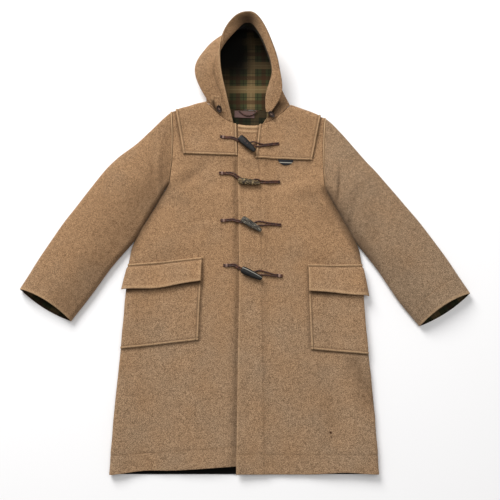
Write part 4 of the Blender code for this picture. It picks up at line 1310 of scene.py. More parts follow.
    def sew(self, name: str) -> None:
        """Makes one piece of all the stitches sewn so far.

        Args:
            name: The piece's name.
        """
        points, faces = stitches(self.sewn)
        make_piece(name, points, faces, [self.finishes.sewing], "wool")
        self.sewn.clear()


@dataclass
class Front(Cloth):
    """One front of the body with its yoke, pocket and flap."""

    yoke_y: float = 0.2750
    yoke_front: Pair = (0.0335, 0.0230)
    yoke_end: Pair = (0.2165, 0.1900)
    placket: Route = ((-0.640, 0.0540), (-0.600, 0.0535), (-0.030, 0.0465), (0.170, 0.0390), (0.260, 0.0330),
                      (0.400, 0.0290))
    rises: Route = ()
    pocket_share: float = 0.575
    pocket_levels: Pair = (-0.0920, -0.2990)
    flap_levels: Pair = (-0.0430, -0.1240)
    flap_gape: float = 0.0080
    flap_sag: Place = (1.02, 0.24, 0.0120)
    hem_stitch: float = 0.050
    hem_arch: Place = (0.270, 0.055, 0.0050)
    hem_arch_from: float = 0.045
    hem_arch_over: float = 0.04
    lap_shade: Place = (0.0070, 0.0080, 0.0014)
    edge_rise: Place = (0.0030, 0.0040, 0.0009)
    neck_reach: Pair = (0.036, 0.040)
    neck_bands: Pair = (0.0020, 0.0190)
    neck_groove: float = 0.0140
    neck_lines: Pair = (0.0095, 0.0232)
    flap_sewn_to: float = 0.0060
    flap_slope: float = 0.0100
    cell: float = 0.0062
    flap_cell: float = 0.0055
    placket_steps: tuple[float, ...] = (-0.0055, -0.0032, -0.0015, 0.0, 0.0015, 0.0032, 0.0055)
    layer_rounding: Rounding = Rounding(top=0.0012, bottom=0.0014, start=0.0014, end=0.0006)
    # Where painted shade lies beside the layers: its distance, half width and start.
    beside_shade_at: float = 0.0015
    beside_shade_half_width: float = 0.0040
    beside_shade_from: float = -0.0020
    # A crease by the side, darkened with painted shade.
    side_crease: tuple[float, ...] = (0.300, -0.320, 0.345, -0.420)

    def height(self, x: Array, y: Array) -> Array:
        """The front's own height field."""
        return self.pattern.lap_z(x, y) if self.side > 0 else self.pattern.front_z(x, y)

    def front_x(self, y: Array) -> Array:
        """The front edge, measured out from the middle."""
        return self.pattern.lap_x(y) if self.side > 0 else np.full(np.shape(y), -self.pattern.underlap_x)

    def placket_x(self, y: Array) -> Array:
        """The line of stitching that holds the front edge's facing."""
        return looked_up(self.placket, y)

    def rise(self, y: Array) -> Array:
        """How much higher a row is at the front edge than at the side."""
        ys, rises = zip(*sorted(self.rises))
        return np.interp(y, ys, rises)

    def reach(self, y: Array | float) -> Array:
        """The width of the flat part, from the front edge to the side's fold."""
        return self.pattern.edge_x(y) - self.pattern.fold - self.front_x(y)

    def columns(self, y: float, side: float) -> Array:
        """The grid's places across at a height of the coat, out to its side there.

        Args:
            y: The height of the coat.
            side: The body's outer edge.

        Returns:
            The places, from the front edge out.
        """
        first = self.front_x(y) + EDGE_STEPS
        middle = self.placket_x(y) + np.array(self.placket_steps)
        last = side - fold_steps(self.pattern.fold)[::-1]
        between = np.linspace(first[-1], middle[0], 8)[1:-1]
        beyond = np.linspace(middle[-1], last[0], 46)[1:-1]
        return np.concatenate([first, between, middle, beyond, last])

    def grid(self) -> tuple[Array, Array]:
        """Rows from neck and shoulder to hem, and columns from the front edge to the side.

        Returns:
            Each point's places across and along.
        """
        pattern = self.pattern
        top = self.columns(0.380, pattern.edge_x(pattern.shoulder_tip[1]))
        low = self.columns(self.yoke_y, pattern.edge_x(self.yoke_y))
        xs, ys = self.upper_rows(top, low, pattern.neck_y, self.yoke_y, self.cell)
        hem = self.rises[-1][0]
        stitch = hem + self.hem_stitch + STITCH_STEPS
        levels = steps_between(self.yoke_y, stitch[-1] + 0.003, self.cell)
        at, half_width, arch = self.hem_arch
        for level in np.concatenate([levels, stitch[::-1], hem + HEM_STEPS[::-1]]):
            x = self.columns(level, pattern.edge_x(level))
            share = np.clip((x - x[0]) / self.reach(level), 0, 1)
            near_hem = smooth_step((hem + self.hem_arch_from - level) / self.hem_arch_over)
            lifted = arch * hill(x - at, half_width) * near_hem
            xs.append(x)
            ys.append(level + self.rise(level) * (1 - share) + lifted)
        return np.array(xs) * self.side, np.array(ys)

    def place(self, level: Array, share: Array) -> tuple[Array, Array]:
        """Places by level and share of the width. A share over 1 is a distance beyond the flat part.

        Args:
            level: The row, as it is at the side.
            share: The share of the width.

        Returns:
            The places across and along.
        """
        flat = np.minimum(share, 1.0)
        x = self.front_x(level) + flat * self.reach(level) + np.maximum(share - 1.0, 0.0)
        return x * self.side, level + self.rise(level) * (1 - flat)

    def build_panel(self) -> None:
        """The front itself, checked on its inner face."""
        pattern = self.pattern
        x, y = self.grid()
        local = x * self.side
        hem = self.groove(y - self.hem_line(local))
        if self.side > 0:
            grooves = np.maximum(self.groove(local - self.placket_x(y)), hem)
        else:
            grooves = hem
        relief = -0.6 * self.stitch_depth * grooves + self.lumps(x, y)
        lower = smooth_step((self.yoke_y + 0.004 - y) / 0.008)
        # Paler along the front edge: partly wear, partly a painted highlight.
        lightened = 0.20 * hill(local - self.front_x(y) - 0.002, 0.004) * lower
        # Painted shade in the stitch grooves and beside the layers.
        painted_shade = [grooves * 0.22, self.beside_layers(x, y)]
        if self.side < 0:
            # A trough beside the lapped edge, with painted shade in it.
            away, half_width, depth = self.lap_shade
            beside = hill(x - pattern.lap_x(y) + away, half_width) * smooth_step((0.30 - y) / 0.05)
            relief = relief - depth * beside
            painted_shade.append(0.50 * beside)
        else:
            away, half_width, rise = self.edge_rise
            relief = relief + rise * hill(local - self.front_x(y) - away, half_width)
            top = pattern.top_y(x, pattern.neck_y) - y
            at_neck = x < self.neck_reach[0]
            band = self.welt(top - self.neck_bands[0]) * (x < self.neck_reach[1])
            second = hill(top - self.neck_bands[1], 0.0024) * at_neck
            groove = self.groove(top - self.neck_groove) * at_neck
            relief = relief + 0.0014 * band - self.stitch_depth * groove + 0.0012 * second
            # The neck bands paler, partly wear and partly a painted highlight, and painted shade along the neck's
            # stitching.
            lightened = np.max([lightened, 0.8 * band, 0.5 * second], axis=0)
            lines = np.max([self.groove(top - line) for line in self.neck_lines], axis=0)
            painted_shade.append(0.4 * lines * at_neck)
            # Painted shade in the crease by the side.
            painted_shade.append(0.34 * hill(from_segment(x, y, *self.side_crease)[0], 0.026))
        # Painted shade in the troughs of the folds.
        painted_shade += [-60.0 * fold.at(x, y) for fold in pattern.folds]
        marks = Marks(lightened=lightened, painted_shade=np.max(painted_shade, axis=0))
        rounding = Rounding(top=0.0008, bottom=0.0013, start=0.0013, end=0.0005)
        shell = self.on(f"{self.label}_front", x, y, self.height, 0.0, relief, marks, rounding=rounding)
        shell.build([self.finishes.wool, self.finishes.check])

    def beside_layers(self, x: Array, y: Array) -> Array:
        """How much painted shade darkens the front beside the yoke, the pocket, the flap and the sleeve.

        Args:
            x: Places across.
            y: Places along.

        Returns:
            A number of 0 to 1 for each place.
        """
        local, reach = x * self.side, self.reach(y)
        share = (local - self.front_x(y)) / reach
        level = y
        for _ in range(3):
            level = y - self.rise(level) * (1 - np.clip(share, 0, 1))
        (front, front_low), (end, end_low), low = self.yoke_front, self.yoke_end, self.pocket_levels[1]
        on_yoke, on_pocket = y > self.yoke_y, (level > low) & (level < self.flap_levels[0])
        outer = local - np.interp(y, (self.yoke_y, 0.41), (end_low, end))
        inner = np.interp(y, (self.yoke_y, 0.38), (front_low, front)) - local
        total = 0.75 * hill(self.pattern.from_side(x, y), 0.017 if self.side > 0 else 0.013)
        total = total * smooth_step((y + 0.05) / 0.06) * smooth_step((0.21 - y) / 0.04)
        for away, strength, where in (
            ((self.pocket_share - share) * reach, 0.6, on_pocket),
            (low - level, 0.7, share > self.pocket_share),
            (self.yoke_y - y, 0.7, (local > front_low) & (local < end_low)),
            (outer, 0.6, on_yoke),
            (inner, 0.6, on_yoke & (inner < 0.02)),
        ):
            beside_shade = hill(away - self.beside_shade_at, self.beside_shade_half_width) * (away > self.beside_shade_from)
            total = np.maximum(total, strength * beside_shade * where)
        return total

    def hem_line(self, local: Array) -> Array:
        """The height of the hem's stitching across the front.

        Args:
            local: Places out from the middle.

        Returns:
            Its places along.
        """
        hem = self.rises[-1][0]
        share = np.clip((local - self.front_x(hem)) / self.reach(hem), 0, 1)
        return hem + self.hem_stitch + self.rise(hem + self.hem_stitch) * (1 - share)

    def lumps(self, x: Array, y: Array) -> Array:
        """The slight unevenness of thick cloth that lies by itself.

        Args:
            x: Places across.
            y: Places along.

        Returns:
            A relief in metres.
        """
        wave = np.sin(x * 61 + 2.0 * np.sin(y * 23 + 0.7)) * np.sin(y * 47 + 1.6 * np.sin(x * 31 + 2.1))
        broad = np.sin(x * 21 + 1.3 * np.sin(y * 9 + 0.5)) * np.sin(y * 17 + 1.1 * np.sin(x * 13))
        return 0.00055 * wave + 0.0004 * np.sin(x * 113 + y * 71 + 0.4) + 0.0007 * broad

    def build_yoke(self) -> None:
        """The yoke over the shoulder, topstitched along its three free edges."""
        (front, front_low), (end, end_low) = self.yoke_front, self.yoke_end
        top, low = spread(front, end, 31), spread(front_low, end_low, 31)
        local, y = self.yoke_grid(top, low, self.pattern.neck_y, self.yoke_y, self.cell)
        x = local * self.side
        relief, marks = self.edged(local - local[:, :1], local[:, -1:] - local, y - self.yoke_y)
        rounding = Rounding(top=0.0005, bottom=0.0014, start=0.0014, end=0.0014)
        relief = relief + self.lumps(x, y)
        shell = self.on(f"yoke_{self.label}", x, y, self.height, LAYER, relief, marks, rounding=rounding)
        shell.build([self.finishes.wool])
        lift = self.in_groove(LAYER)
        inset, rows = self.edge_stitch, slice(8, -3)
        self.seam_line((local[rows, 0] + inset) * self.side, y[rows, 0], self.height, lift)
        self.seam_line((local[rows, -1] - inset) * self.side, y[rows, -1], self.height, lift)
        self.seam_line(x[-1, 4:-4], y[-1, 4:-4] + inset, self.height, lift)

    def layer_grid(self, levels: list[Array], edge: Array, even: float) -> tuple[Array, Array, Array]:
        """The grid of a layer that runs from the pocket's front edge round to the side.

        Args:
            levels: The rows' levels, in stretches from top to bottom.
            edge: The columns' distances from the front edge, as far as even.
            even: Where the even columns start.

        Returns:
            Each point's level, its share of the width and its distance from the front edge.
        """
        rows = np.concatenate(levels)
        reach = self.reach(rows[-1])
        start = self.pocket_share + edge / reach
        flat = np.linspace(self.pocket_share + even / reach, 1.0, 24)
        round_side = 1 + np.array([0.0018, 0.0034, self.pattern.fold * 0.67])
        level, share = np.meshgrid(rows, np.concatenate([start, flat, round_side]), indexing="ij")
        return level, share, (share - self.pocket_share) * reach

    def build_pocket(self) -> None:
        """The patch pocket, which runs round to the side."""
        high, low = self.pocket_levels
        edge = EDGE_STEPS
        even = steps_between(high - edge[3], low + edge[-1], self.cell)
        level, share, front = self.layer_grid([high - edge[:4], even, low + edge[::-1]], edge[:-1], edge[-1])
        x, y = self.place(level, share)
        relief, marks = self.edged(front, level - low)
        # Painted shadow on the pocket under the flap's lower edge.
        marks.painted_shade = np.maximum(marks.painted_shade, hill(level - self.flap_levels[1] + 0.0015, 0.0075))
        relief = relief + self.lumps(x, y)
        shell = self.on(f"pocket_{self.label}", x, y, self.height, LAYER, relief, marks, rounding=self.layer_rounding)
        shell.build([self.finishes.wool])
        inset = self.pocket_share + self.edge_stitch / self.reach(low)
        down = np.linspace(self.flap_levels[1], low + self.edge_stitch, 24)
        for levels, shares in ((down, np.full(24, inset)), (np.full(24, down[-1]), np.linspace(inset, 1.0, 24))):
            self.seam_line(*self.place(levels, shares), self.height, self.in_groove(LAYER))

    def build_flap(self) -> None:
        """The flap: sewn down along its top and standing a little off its pocket below."""
        high, low = self.flap_levels
        edge = EDGE_STEPS
        even = steps_between(high - edge[-1], low + edge[3], self.flap_cell)
        level, share, front = self.layer_grid([high - edge, even, low + edge[3::-1]], edge[:4], edge[6])
        x, y = self.place(level, share)
        down = (high - level) / (high - low)
        at, half_width, sag = self.flap_sag
        y = y - sag * hill(share - at, half_width) * smooth_step(down)
        x = x + self.side * 0.22 * sag * hill(share - 1.0, 0.10) * down
        free = smooth_step((high - level - self.flap_sewn_to) / self.flap_slope)
        lift = LAYER + LAYER * free + self.flap_gape * smooth_step(down)
        lift[:2] = LAYER
        relief, marks = self.edged(high - level)
        lower = level - low
        relief = relief + 0.0012 * hill(front - 0.003, 0.004) + 0.0010 * hill(lower - 0.003, 0.005)
        # The flap's lower and front edges paler: partly wear, partly a painted highlight.
        marks.lightened = np.max([marks.lightened, 0.4 * hill(lower - 0.003, 0.004), 0.3 * hill(front - 0.002, 0.004)], axis=0)
        shell = self.on(f"flap_{self.label}", x, y, self.height, lift, relief, marks, rounding=self.layer_rounding)
        shell.build([self.finishes.wool])
        across = np.linspace(self.pocket_share + 0.004 / self.reach(low), 1.0, 24)
        line = self.place(np.full(24, high - self.edge_stitch), across)
        self.seam_line(*line, self.height, LAYER + HALF + 0.0002)

    def build(self) -> None:
        """Everything of this front, and its stitches."""
        self.build_panel()
        self.build_yoke()
        self.build_pocket()
        self.build_flap()
        if self.side > 0:
            y = np.linspace(self.yoke_y - 0.006, -0.612, 200)
            self.seam_line(self.placket_x(y), y, self.height, self.in_groove(0.0))
        x = np.linspace(self.front_x(-0.56) + 0.004, self.pattern.edge_x(-0.56) - 0.010, 90)
        self.seam_line(x * self.side, self.hem_line(x), self.height, self.in_groove(0.0))
        self.sew(f"stitches_{self.label}_front")


@dataclass
class Back(Cloth):
    """The back panel and the yoke's back, which lie on the surface."""

    hem_y: float = -0.6165
    yoke_ends: Pair = (0.2165, 0.1900)
    cell: float = 0.009

    def across(self, y: float) -> Array:
        """Places from the middle out to the edge at a height of the coat."""
        fold, end = fold_steps(self.pattern.fold), self.pattern.edge_x(y)
        return np.concatenate([np.linspace(0.0, end - fold[-1], 40)[:-1], (end - fold)[::-1]])

    def build(self) -> None:
        """The panel and its yoke."""
        pattern = self.pattern
        top, low = self.across(pattern.shoulder_tip[1]), self.across(pattern.yoke_y)
        xs, ys = self.upper_rows(top, low, pattern.back_neck_y, pattern.yoke_y, self.cell)
        for level in [*steps_between(pattern.yoke_y, self.hem_y + 0.003, self.cell), self.hem_y + 0.003, self.hem_y]:
            xs.append(self.across(level))
            ys.append(np.full(len(top), level))
        x, y = np.array(xs), np.array(ys)
        x, y = np.concatenate([-x[:, :0:-1], x], axis=1), np.concatenate([y[:, :0:-1], y], axis=1)
        panel = self.under("back_panel", x, y, pattern.back_z, 0.0, Rounding(0.0006, 0.0013, 0.0005, 0.0005))
        # Painted shade on the check inside, near the hem and at the neck.
        panel.marks.deep = np.maximum(smooth_step((-0.570 - y) / 0.03), 0.75 * smooth_step((y - 0.360) / 0.03))
        panel.build([self.finishes.wool, self.finishes.check])
        top, low = (spread(-end, end, 51) for end in self.yoke_ends)
        x, y = self.yoke_grid(top, low, pattern.back_neck_y, pattern.yoke_y, self.cell)
        yoke = self.under("yoke_back", x, y, pattern.back_z, LAYER, Rounding(0.0005, 0.0013, 0.0013, 0.0013))
        yoke.build([self.finishes.wool])


# ---- sleeves
@dataclass
class Sleeve(Cloth):
    """A flattened tube from the armhole to the cuff, in two halves."""

    rows: tuple[tuple[Any, ...], ...] = ()
    turn: float = 0.0090
    side_gap: float = 0.0012
    armhole_gap: float = 0.0008
    underarm_gap: float = 0.0008
    top_bow: float = -0.0120
    under_bow: float = 0.0090
    hem: float = 0.050
    flat_width: float = 0.15
    blend_to: float = 1.60
    skew: float = 1.0
    cool: float = 0.0
    # Painted shade on the sleeve's inner side, and the half width of the painted shade in the crease by the body.
    shade: float = 0.14
    crease_width: float = 0.018
    # Each soft fold's middle round and along the sleeve, its half widths there, its lean and its height.
    folds: tuple[tuple[float, ...], ...] = (
        (0.60, 1.3, 0.28, 0.30, 1.6, 0.0045),
        (0.72, 2.0, 0.24, 0.26, 1.2, -0.0050),
        (0.50, 3.0, 0.30, 0.40, -1.2, 0.0040),
        (0.80, 3.9, 0.22, 0.35, 1.0, -0.0045),
        (0.60, 5.0, 0.32, 0.42, 1.4, -0.0040),
        (0.72, 6.1, 0.25, 0.50, -1.0, 0.0036),
    )

    def __post_init__(self) -> None:
        """Works out the sleeve's two edges from its rows."""
        pattern = self.pattern
        outer = [pattern.laid((self.side * (pattern.shoulder_tip[0] - HALF), pattern.shoulder_tip[1], 0.0))[:2]]
        inner = [pattern.laid((self.side * (pattern.underarm[0] - HALF), pattern.underarm[1], 0.0))[:2]]
        for outer_x, outer_y, inner_x, inner_y, _ in self.rows:
            if inner_x is None:
                against = float(pattern.side_x(inner_y)) + self.side_gap + HALF
                inner_x, inner_y = pattern.laid((self.side * against, inner_y, 0.0))[:2]
            else:
                inner_x = inner_x + self.side * HALF
            outer.append((outer_x - self.side * HALF, outer_y))
            inner.append((inner_x, inner_y))
        self.outer_edge, self.inner_edge = np.array(outer), np.array(inner)
        self.heights = np.array([self.rows[0][4], *(row[4] for row in self.rows)])
        self.knots = np.arange(len(outer), dtype=float)
        self.last = float(len(outer) - 1)

    def edge(self, table: Array, b: Array) -> Array:
        """A point of one edge."""
        return np.stack([through(self.knots, table[:, i], b) for i in (0, 1)], axis=-1)

    def points(self, a: Array, b: Array, top: bool) -> Array:
        """Points of the sleeve's wall.

        Args:
            a: From the outer edge (0) to the inner one (1).
            b: From the armhole (0) to the cuff.
            top: Whether it is the upper half.

        Returns:
            The points, middle of the wall.
        """
        pattern = self.pattern
        a, b = np.broadcast_arrays(np.asarray(a, float), np.asarray(b, float))
        outer, inner = self.edge(self.outer_edge, b), self.edge(self.inner_edge, b)
        plan = outer + (inner - outer) * a[..., None]
        width = np.linalg.norm(inner - outer, axis=-1)
        arm_y = pattern.shoulder_tip[1] + (pattern.underarm[1] - pattern.shoulder_tip[1]) * a
        arm_x = self.side * pattern.armhole_x(arm_y)
        seam = pattern.laid(np.stack([arm_x, arm_y, np.zeros_like(a)], axis=-1))[..., :2]
        seam[..., 0] += self.side * (self.armhole_gap + self.underarm_gap * a**4)
        near = 1.0 - smooth_step(b / 1.4)
        start = self.edge(self.outer_edge, np.zeros_like(b))
        start = start + (self.edge(self.inner_edge, np.zeros_like(b)) - start) * a[..., None]
        plan = plan + (seam - start) * near[..., None]
        along = unit(self.outer_edge[-1] - self.outer_edge[-3])
        bow = self.top_bow if top else self.under_bow
        push = bow * np.sin(math.pi * a) ** 0.8 * smooth_step((b - self.last + 2.0) / 2.0)
        plan = plan + along * push[..., None]
        turn = quarter_turn(np.minimum(a, 1 - a) * width / self.turn)
        if top:
            dome = 1 - np.abs(2 * a**self.skew - 1) ** 2.2
            height = through(self.knots, self.heights, b)
            free = HALF + SEAM + self.turn * (1 + turn) + (height - CLOTH - 2 * self.turn) * dome * turn
            free = free + self.folded(a, b) * turn
            seam_z = pattern.front_z(arm_x, arm_y)
        else:
            free = HALF + self.turn * (1 - turn)
            seam_z = pattern.back_z(arm_x, arm_y)
        blend = smooth_step(b / self.blend_to)
        return np.concatenate([plan, (seam_z * (1 - blend) + free * blend)[..., None]], axis=-1)

    def folded(self, a: Array, b: Array) -> Array:
        """The height of the soft folds across the sleeve.

        Args:
            a: From the outer edge (0) to the inner one (1).
            b: From the armhole (0) to the cuff.

        Returns:
            The heights in metres.
        """
        total = np.zeros_like(a)
        for at_a, at_b, wide_a, wide_b, lean, height in self.folds:
            da, db = (a - at_a) / wide_a, (b - at_b - lean * (a - at_a)) / wide_b
            total = total + height * np.exp(-(da**2) - db**2)
        return total

    def normals(self, a: Array, b: Array, top: bool) -> Array:
        """Which way the outer face of a half looks.

        Args:
            a: From the outer edge (0) to the inner one (1).
            b: From the armhole (0) to the cuff.
            top: Whether it is the upper half.

        Returns:
            Vectors of length 1.
        """
        normal = normals_of(lambda c, d: self.points(c, d, top), a, b, (1e-5, 1e-3), (1.0, self.last))
        looks_up = normal[normal.shape[0] // 2, normal.shape[1] // 2, 2] > 0
        return normal if looks_up == top else -normal

    def half(self, name: str, top: bool) -> None:
        """One half of the sleeve, checked on its inner face.

        Args:
            name: The half's name.
            top: Whether it is the upper half.
        """
        turn = fold_steps(self.turn) / self.flat_width
        shares = np.concatenate([turn, np.linspace(turn[-1], 1 - turn[-1], 30)[1:-1], 1 - turn[::-1]])
        lengths = np.linalg.norm(self.outer_edge[1:] - self.outer_edge[:-1], axis=1)
        seam_length, row_length = lengths[0], lengths[-3:].mean()
        seam = EDGE_STEPS / seam_length
        hem_at = self.last - self.hem / row_length
        hem = hem_at - STITCH_STEPS / row_length
        cuff = self.last - HEM_STEPS / row_length
        stations = np.concatenate([seam, steps_between(seam[-1], hem[-1] - 0.03, 0.085), hem[::-1], cuff[::-1]])
        b, a = np.meshgrid(stations, shares, indexing="ij")
        middle, normal = self.points(a, b, top), self.normals(a, b, top)
        from_seam, from_cuff = b * seam_length, (self.last - b) * row_length
        grooves = np.maximum(self.groove(from_seam - self.edge_stitch), 0.45 * self.groove(from_cuff - self.hem))
        welts = self.welt(from_seam)
        relief = -self.stitch_depth * grooves + 0.0013 * welts
        relief = relief + 0.0004 * np.sin(a * 9 + b * 2.1) * np.sin(b * 3.7 + 2 * np.sin(a * 5))
        outer, inner = middle + normal * (HALF + relief * top)[..., None], middle - normal * HALF
        outer[..., 2] = np.maximum(outer[..., 2], 0.0)
        inside = (1 - a) * np.linalg.norm(self.edge(self.inner_edge, b) - self.edge(self.outer_edge, b), axis=-1)
        # Painted shade in the crease by the body and on the sleeve's inner side.
        crease = 0.60 * hill(inside, self.crease_width) * smooth_step((self.last - 1.2 - b) / 1.5)
        shade = 0.08 + self.shade * smooth_step((a - 0.35) / 0.50)
        # The seam welt and cuff edge paler, partly wear and partly a painted highlight; painted shade on the check
        # inside.
        marks = Marks(
            lightened=np.minimum(welts + 0.4 * hill(from_cuff - 0.002, 0.005), 1.0),
            painted_shade=np.max([0.6 * grooves, crease, shade], axis=0),
            cool=self.coolness(middle[..., 1]) + self.cool,
            deep=0.60,
        )
        if top:
            for at, lift in ((self.edge_stitch / seam_length, 0.0002), (hem_at, -0.0005)):
                line = self.points(shares[8:-8], np.full(len(shares) - 16, at), True)
                self.sewn.append(line + np.array((0, 0, HALF + lift)))
        rounding = Rounding(top=0.0010, bottom=0.0014, start=0.0005, end=0.0005)
        cut = np.stack([a * self.flat_width, -b * row_length], axis=-1)
        Shell(name, outer, inner, marks, rounding, cut).build([self.finishes.wool, self.finishes.check])

    def build(self) -> None:
        """Both halves and their stitches."""
        for name, top in (("top", True), ("under", False)):
            self.half(f"sleeve_{self.label}_{name}", top)
        self.sew(f"stitches_{self.label}_sleeve")


# ---- hood
@dataclass
class Hood(Cloth):
    """Half of the hood: arches from the neckline to the seam over the crown."""

    rows: Route = ()
    stations: tuple[float, ...] = (0.0, 0.15, 0.32, 0.52, 0.78, 1.0)
    names: tuple[str, ...] = ("run", "low", "middle", "high", "crown", "rise", "top_x", "top_y", "top_z")
    neck_gap: float = 0.0020
    neck_side_gap: float = 0.0026
    front_x: float = 0.0440
    back_x: float = 0.0500
    neck_share: float = 0.58
    neck_side_run: float = 0.61
    facing_to: float = 0.115
    facing_cloth: float = 0.0022
    facing_taper: float = 0.30
    crown_gap: float = 0.0
    facet_rises: tuple[float, ...] = (0.0, 0.06, 0.15, 0.25, 0.36, 0.47, 0.58, 0.69, 0.80, 0.90, 0.96, 1.0)
    facet_runs: tuple[float, ...] = (0.0, 0.06, 0.115, 0.20, 0.28, 0.36, 0.44, 0.52, 0.62, 0.80, 1.0)
    tab: tuple[Any, ...] = ()
    shades: tuple[tuple[Any, ...], ...] = ()
    tab_gap: float = 0.0008
    button: Place = (0.0078, 0.0118, 0.0036)
    # How far each ring of the button is from its foot, as a share of its thickness, and how wide it is.
    button_profile: Route = ((0.00, 0.55), (0.00, 0.82), (0.10, 0.93), (0.28, 0.99), (0.55, 1.0), (0.78, 0.985),
                             (0.94, 0.93), (1.00, 0.86), (0.96, 0.79), (0.80, 0.72), (0.70, 0.60), (0.66, 0.40),
                             (0.65, 0.10))
    thread_aside: float = 0.0006
    thread_half: float = 0.0030
    thread_radius: float = 0.0005

    def value(self, name: str, run: Array) -> Array:
        """One of the hood's sizes along its run."""
        return looked_up(self.rows, run, self.names.index(name))

    def base(self, run: Array) -> Array:
        """The lower edge: down the front neckline, round the shoulder, to the back of the neck.

        Args:
            run: From the face edge (0) to the back of the neck (1).

        Returns:
            Points of the edge, middle of the wall.
        """
        pattern = self.pattern
        front = np.clip(run / self.neck_share, 0, 1)
        back = np.clip((run - self.neck_share) / (1 - self.neck_share), 0, 1)
        x = self.front_x + (pattern.neck_side[0] - self.front_x) * front
        x = x + (self.back_x - pattern.neck_side[0]) * back
        turn = smooth_step((run - self.neck_share + 0.12) / 0.24)
        y = pattern.neck_y(x) * (1 - turn) + pattern.back_neck_y(x) * turn
        z = (pattern.front_z(x, pattern.neck_y(x) - 1e-5) + LAYER / 2) * (1 - turn) + HALF * turn
        gap = self.neck_gap * (1 - 0.8 * smooth_step((run - 0.70) / 0.15))
        y = y + gap + self.neck_side_gap * hill(run - self.neck_side_run, 0.11)
        return pattern.laid(np.stack([self.side * x, y, z], axis=-1))

    def points(self, p: Array, run: Array) -> Array:
        """Points of the hood's wall.

        Args:
            p: From the neckline (0) to the crown seam (1).
            run: From the face edge (0) to the back of the neck (1).

        Returns:
            The points, middle of the wall.
        """
        p, run = np.broadcast_arrays(np.asarray(p, float), np.asarray(run, float))
        base = self.base(run)
        top = np.stack([self.value(n, run) for n in ("top_x", "top_y", "top_z")], axis=-1)
        zero = np.zeros_like(p)
        values = np.stack([zero, *(self.value(n, run) for n in ("low", "middle", "high", "crown")), zero])
        swell = through(self.stations, values, p)
        x = base[..., 0] + (top[..., 0] - base[..., 0]) * p + self.side * swell
        y = base[..., 1] + (top[..., 1] - base[..., 1]) * np.sin(math.pi / 2 * p)
        z = base[..., 2] + (top[..., 2] - base[..., 2]) * p + self.value("rise", run) * np.sin(math.pi * p)
        return np.stack([x, y, np.maximum(z, HALF)], axis=-1)

    def normals(self, p: Array, run: Array) -> Array:
        """Which way the hood's outer face looks.

        Args:
            p: From the neckline (0) to the crown seam (1).
            run: From the face edge (0) to the back of the neck (1).

        Returns:
            Vectors of length 1.
        """
        p, run = np.broadcast_arrays(np.asarray(p, float), np.asarray(run, float))
        return -self.side * normals_of(self.points, p, run, (1e-4, 1e-4), (1.0, 1.0))

    def layer(self, name: str, rises: Array, runs: Array, depth: float, cloth: float) -> Shell:
        """A shell over part of the hood.

        Args:
            name: The piece's name.
            rises: The rows, from the neckline (0) to the crown seam (1).
            runs: The columns, from the face edge (0) to the back of the neck (1).
            depth: How far the middle of its wall is inside the hood's own.
            cloth: Its thickness.

        Returns:
            The shell.
        """
        p, run = np.meshgrid(rises, runs, indexing="ij")
        if depth:
            run = run * (1 - self.facing_taper * smooth_step((p - 0.5) / 0.5))
        middle, normal = self.points(p, run), self.normals(p, run)
        x, y, z = (middle[..., i] for i in range(3))
        crown_x = self.value("top_x", run)
        # Painted shade on the check inside the hood, darkest towards the crown.
        high = smooth_step((y - 0.495 - 0.25 * np.maximum(x - 0.01, 0)) / 0.085)
        deep = high * (0.66 + 0.33 * smooth_step((0.035 - x) / 0.05))
        deep = deep + (1 - high) * 0.35 * smooth_step((0.01 - x) / 0.04)
        if depth:
            relief = np.zeros_like(p)
            # The facing darkened with painted shade towards the crown.
            marks = Marks(painted_shade=0.90 * smooth_step((p - 0.62) / 0.30) * np.clip(0.25 + run / 0.05, 0, 1), deep=deep)
        else:
            from_crown = (1 - p) * np.linalg.norm(np.diff(middle, axis=0), axis=-1).sum(axis=0).mean()
            from_face = run * np.linalg.norm(np.diff(middle, axis=1), axis=-1).sum(axis=1).mean() / runs[-1]
            grooves = np.maximum(self.groove(from_crown - self.edge_stitch), self.groove(from_face - 0.020))
            relief = 0.0004 * self.welt(from_crown) - self.stitch_depth * grooves
            relief = relief + 0.0005 * np.sin(p * 17 + run * 9) * np.sin(run * 23 + 3 * p)
            # The crown seam's welt and the face edge paler, partly wear and partly a painted highlight; painted shade
            # over the outer face, its grooves and beside the throat.
            lightened = 0.5 * self.welt(from_crown) + 0.45 * hill(from_face, 0.006)
            marks = Marks(lightened=lightened, painted_shade=np.maximum(0.06 + 0.5 * grooves, self.shaded(x, y)), deep=deep)
        faces = []
        for offset in (cloth / 2 - depth + relief, -cloth / 2 - depth + 0 * relief):
            face = middle + normal * offset[..., None]
            clear = self.side * (face[..., 0] - crown_x)
            face[..., 0] += self.side * np.maximum(self.crown_gap - clear, 0.0)
            face[-1, :, 0] = crown_x[-1] + self.side * self.crown_gap
            face[..., 2] = np.maximum(face[..., 2], 0.0)
            faces.append(face)
        rounding = Rounding(top=0.0009, bottom=0.0001, start=0.0009 if depth else 0.0013, end=0.0009)
        return Shell(name, *faces, marks, rounding, np.stack([x + 0.7 * self.side * z, y + 0.4 * z], -1))

    def shaded(self, x: Array, y: Array) -> Array:
        """How much painted shade darkens the hood in the recesses beside its throat.

        Args:
            x: Places across.
            y: Places along.

        Returns:
            A number of 0 to 1 for each place.
        """
        total = np.zeros_like(x)
        for segment, half_width, strength in self.shades:
            total = np.maximum(total, strength * hill(from_segment(x, y, *segment)[0], half_width))
        return total

